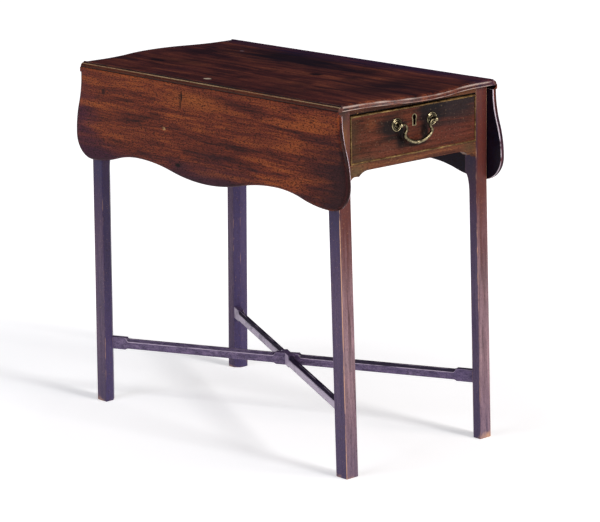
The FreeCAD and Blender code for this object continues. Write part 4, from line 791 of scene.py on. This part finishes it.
def buildBail():
    # a round section carried along the swan neck, thickest along the bottom, with a small knob in the middle
    (pinEnd, pinRadius), pinStep, (neckFrom, neckTo) = brass["pin"], brass["pinStep"], brass["neck"]
    half = [np.array([[pinEnd, 0], [neckFrom + pinStep, 0], [neckFrom, 0], [neckTo, 0]], float)]
    for x, z, r, first, last, count in brass["arcs"]:
        angle = np.radians(np.linspace(first, last, count))[1:]
        half.append(np.stack([x + r * np.cos(angle), z + r * np.sin(angle)], axis=1))
    half = np.concatenate(half)
    path = np.concatenate([half, half[-2::-1] * [-1, 1]])
    step = np.linalg.norm(np.diff(path, axis=0), axis=1)
    run = np.concatenate([[0], np.cumsum(step)])
    share = 1 - np.abs(run / run[-1] * 2 - 1)  # 0 at the posts and 1 at the bottom middle
    grow, reach = brass["knob"]
    radius = np.interp(share, brass["swell"], brass["thick"]) + grow * np.exp(-((run - run[-1] / 2) / reach) ** 2)
    radius = np.where(np.abs(path[:, 0]) > neckFrom + pinStep / 2, pinRadius, radius)
    ahead = np.gradient(path, axis=0)
    ahead /= np.linalg.norm(ahead, axis=1, keepdims=True)
    angle = np.arange(brass["bailAround"]) * 2 * math.pi / brass["bailAround"]
    lift = radius[:, None] * np.cos(angle)
    out = radius[:, None] * np.sin(angle)
    rings = np.stack([path[:, :1] - ahead[:, 1:] * lift, -brass["face"] - brass["ball"][1] - out,
                      brass["height"] + path[:, 1:] + ahead[:, :1] * lift], axis=2)
    mean, around, along = brass["bailWear"]
    rub = mean + around * np.sin(angle) + along * (share[:, None] - 0.5)
    makePiece("bail_drawn", [ringShell(rings, rub)], agedBrass, "bail", ["bail_handle"])


def keyholeLoop(grow):
    # a round head over a straight slot, both grown by the same amount, anticlockwise from the slot's lower left
    key = brass["keyhole"]
    half, head = key["half"] + grow, key["head"] + grow
    low = key["height"] - key["length"] - grow
    first = -math.acos(half / head)
    angle = np.linspace(first, math.pi - first, key["steps"])
    return np.concatenate([[[-half, low], [half, low]],
                           np.stack([head * np.cos(angle), key["height"] + head * np.sin(angle)], axis=1)])


def buildEscutcheon():
    # the keyhole's loop carried round a small rounded rim, closed on itself behind the face
    grow, stand, wear = np.array(brass["keyhole"]["profile"]).T
    loops = np.stack([keyholeLoop(g) for g in grow])
    y = np.broadcast_to((-brass["face"] - stand)[:, None, None], loops.shape[:2] + (1,))
    rings = np.concatenate([loops[..., :1], y, loops[..., 1:]], axis=2)
    shell = ringShell(rings, wear[:, None], closed=True)
    makePiece("escutcheon_rim", [flipped(shell)], agedBrass, "drawer", ["escutcheon"])


buildRoses()
buildBail()
buildEscutcheon()
print("brass ready")


# finishes of the pieces kept from the frame

paint(railMahogany, "drawer_bottom_rail", "drawer_top_rail", "back_rail",
      *[f"corner_bracket_{end}_{side}" for end in ("front", "back") for side in ("left", "right")])
paint(drawerMahogany, "drawer_front")
paint(beadMahogany, "drawer_cockbead")
paint(agedBrass, "handle_nuts")
paint(dullIron, "lock_case", "lock_bolt", "top_screws",
      *[f"{name}_{side}" for name in ("fly_pin", "hinge_top_plates", "hinge_leaf_plates", "hinge_pins", "hinge_top_screws",
                                      "hinge_leaf_screws") for side in ("left", "right")])
paint(drawerLining, "drawer_back", "drawer_bottom", "drawer_side_left", "drawer_side_right")
paint(liningInShade, "drawer_stops", "glue_blocks",
      *[f"{name}_{side}" for name in ("side_rail", "fly_rail_front", "fly_rail_back", "fly_bracket", "drawer_runner",
                                      "drawer_guide", "drawer_kicker") for side in ("left", "right")])
print("finishes ready")


# floor, light and camera

studio = {
    "floorHalf": 60, "floorColour": "#e7e7e7", "floorRough": 0.9,
    "floorGlow": ((0.5, 1.3), (0.49, 0.86)),  # distances from the middle in metres, and the glow there
    "sunStrength": 1.85, "sunTurn": (63, 0, 6), "sunAngle": 12,
    "worldColour": "#8a80a8", "worldStrength": 0.1,
    # area lights: place, aim, size, power and colour
    "lights": {
        "front": ((1.0, -3.0, 1.7), (0, -0.3, 0.5), 1.4, 45, "#fff6ee"),
        "side": ((-3.4, 0.2, 1.5), (0, 0, 0.5), 2.4, 60, "#f2f4ff"),
        "over": ((0, 0, 3.5), (0, 0, 0.7), 3, 14, "#ffffff"),
    },
}


def buildStudio():
    half = studio["floorHalf"]
    mesh = bpy.data.meshes.new("floor")
    mesh.from_pydata([(-half, -half, 0), (half, -half, 0), (half, half, 0), (-half, half, 0)], [], [(0, 1, 2, 3)])
    floor = bpy.data.objects.new("floor", mesh)
    scene.collection.objects.link(floor)
    material, tree, shader = newMaterial("floorPaper")
    shader.inputs["Base Color"].default_value = linear(studio["floorColour"])
    shader.inputs["Roughness"].default_value = studio["floorRough"]
    shader.inputs["Specular IOR Level"].default_value = 0.0
    shader.inputs["Emission Color"].default_value = (1, 1, 1, 1)
    # the paper glows more away from the table, so that its soft shadows show on a white ground
    coord = addNode(tree, "ShaderNodeTexCoord").outputs["Object"]
    away = addNode(tree, "ShaderNodeVectorMath", None, {0: coord}, operation="LENGTH")
    (near, far), (low, high) = studio["floorGlow"]
    glow = addNode(tree, "ShaderNodeMapRange", {"From Min": near, "From Max": far, "To Min": low, "To Max": high},
                   {"Value": away.outputs["Value"]})
    tree.links.new(glow.outputs[0], shader.inputs["Emission Strength"])
    mesh.materials.append(material)
    sun = bpy.data.lights.new("sun", "SUN")
    sun.energy = studio["sunStrength"]
    sun.angle = math.radians(studio["sunAngle"])
    sunObject = bpy.data.objects.new("sun", sun)
    sunObject.rotation_euler = [math.radians(v) for v in studio["sunTurn"]]
    scene.collection.objects.link(sunObject)
    for name, (place, aim, size, power, colour) in studio["lights"].items():
        light = bpy.data.lights.new(name, "AREA")
        light.energy = power
        light.size = size
        light.color = linear(colour)[:3]
        lightObject = bpy.data.objects.new(name, light)
        lightObject.location = place
        lightObject.rotation_euler = (Vector(aim) - Vector(place)).to_track_quat("-Z", "Y").to_euler()
        scene.collection.objects.link(lightObject)
    world = bpy.data.worlds.new("studioWalls")
    world.use_nodes = True
    background = world.node_tree.nodes["Background"]
    background.inputs["Color"].default_value = linear(studio["worldColour"])
    background.inputs["Strength"].default_value = studio["worldStrength"]
    scene.world = world
    scene.view_settings.view_transform = "Standard"


buildStudio()

# the photo's view: place in metres, turn in degrees, lens and sensor in mm
view = {"at": (-3.39196, -3.81683, 1.54042), "turn": (76.60717, 0.90520, -42.15331), "lens": 157.7304, "sensor": 36,
        "farClip": 200}
camera = bpy.data.cameras.new("camera")
camera.lens = view["lens"]
camera.sensor_width = view["sensor"]
camera.clip_end = view["farClip"]
cameraObject = bpy.data.objects.new("camera", camera)
cameraObject.location = view["at"]
cameraObject.rotation_euler = [math.radians(v) for v in view["turn"]]
scene.collection.objects.link(cameraObject)
scene.camera = cameraObject
print("studio ready")
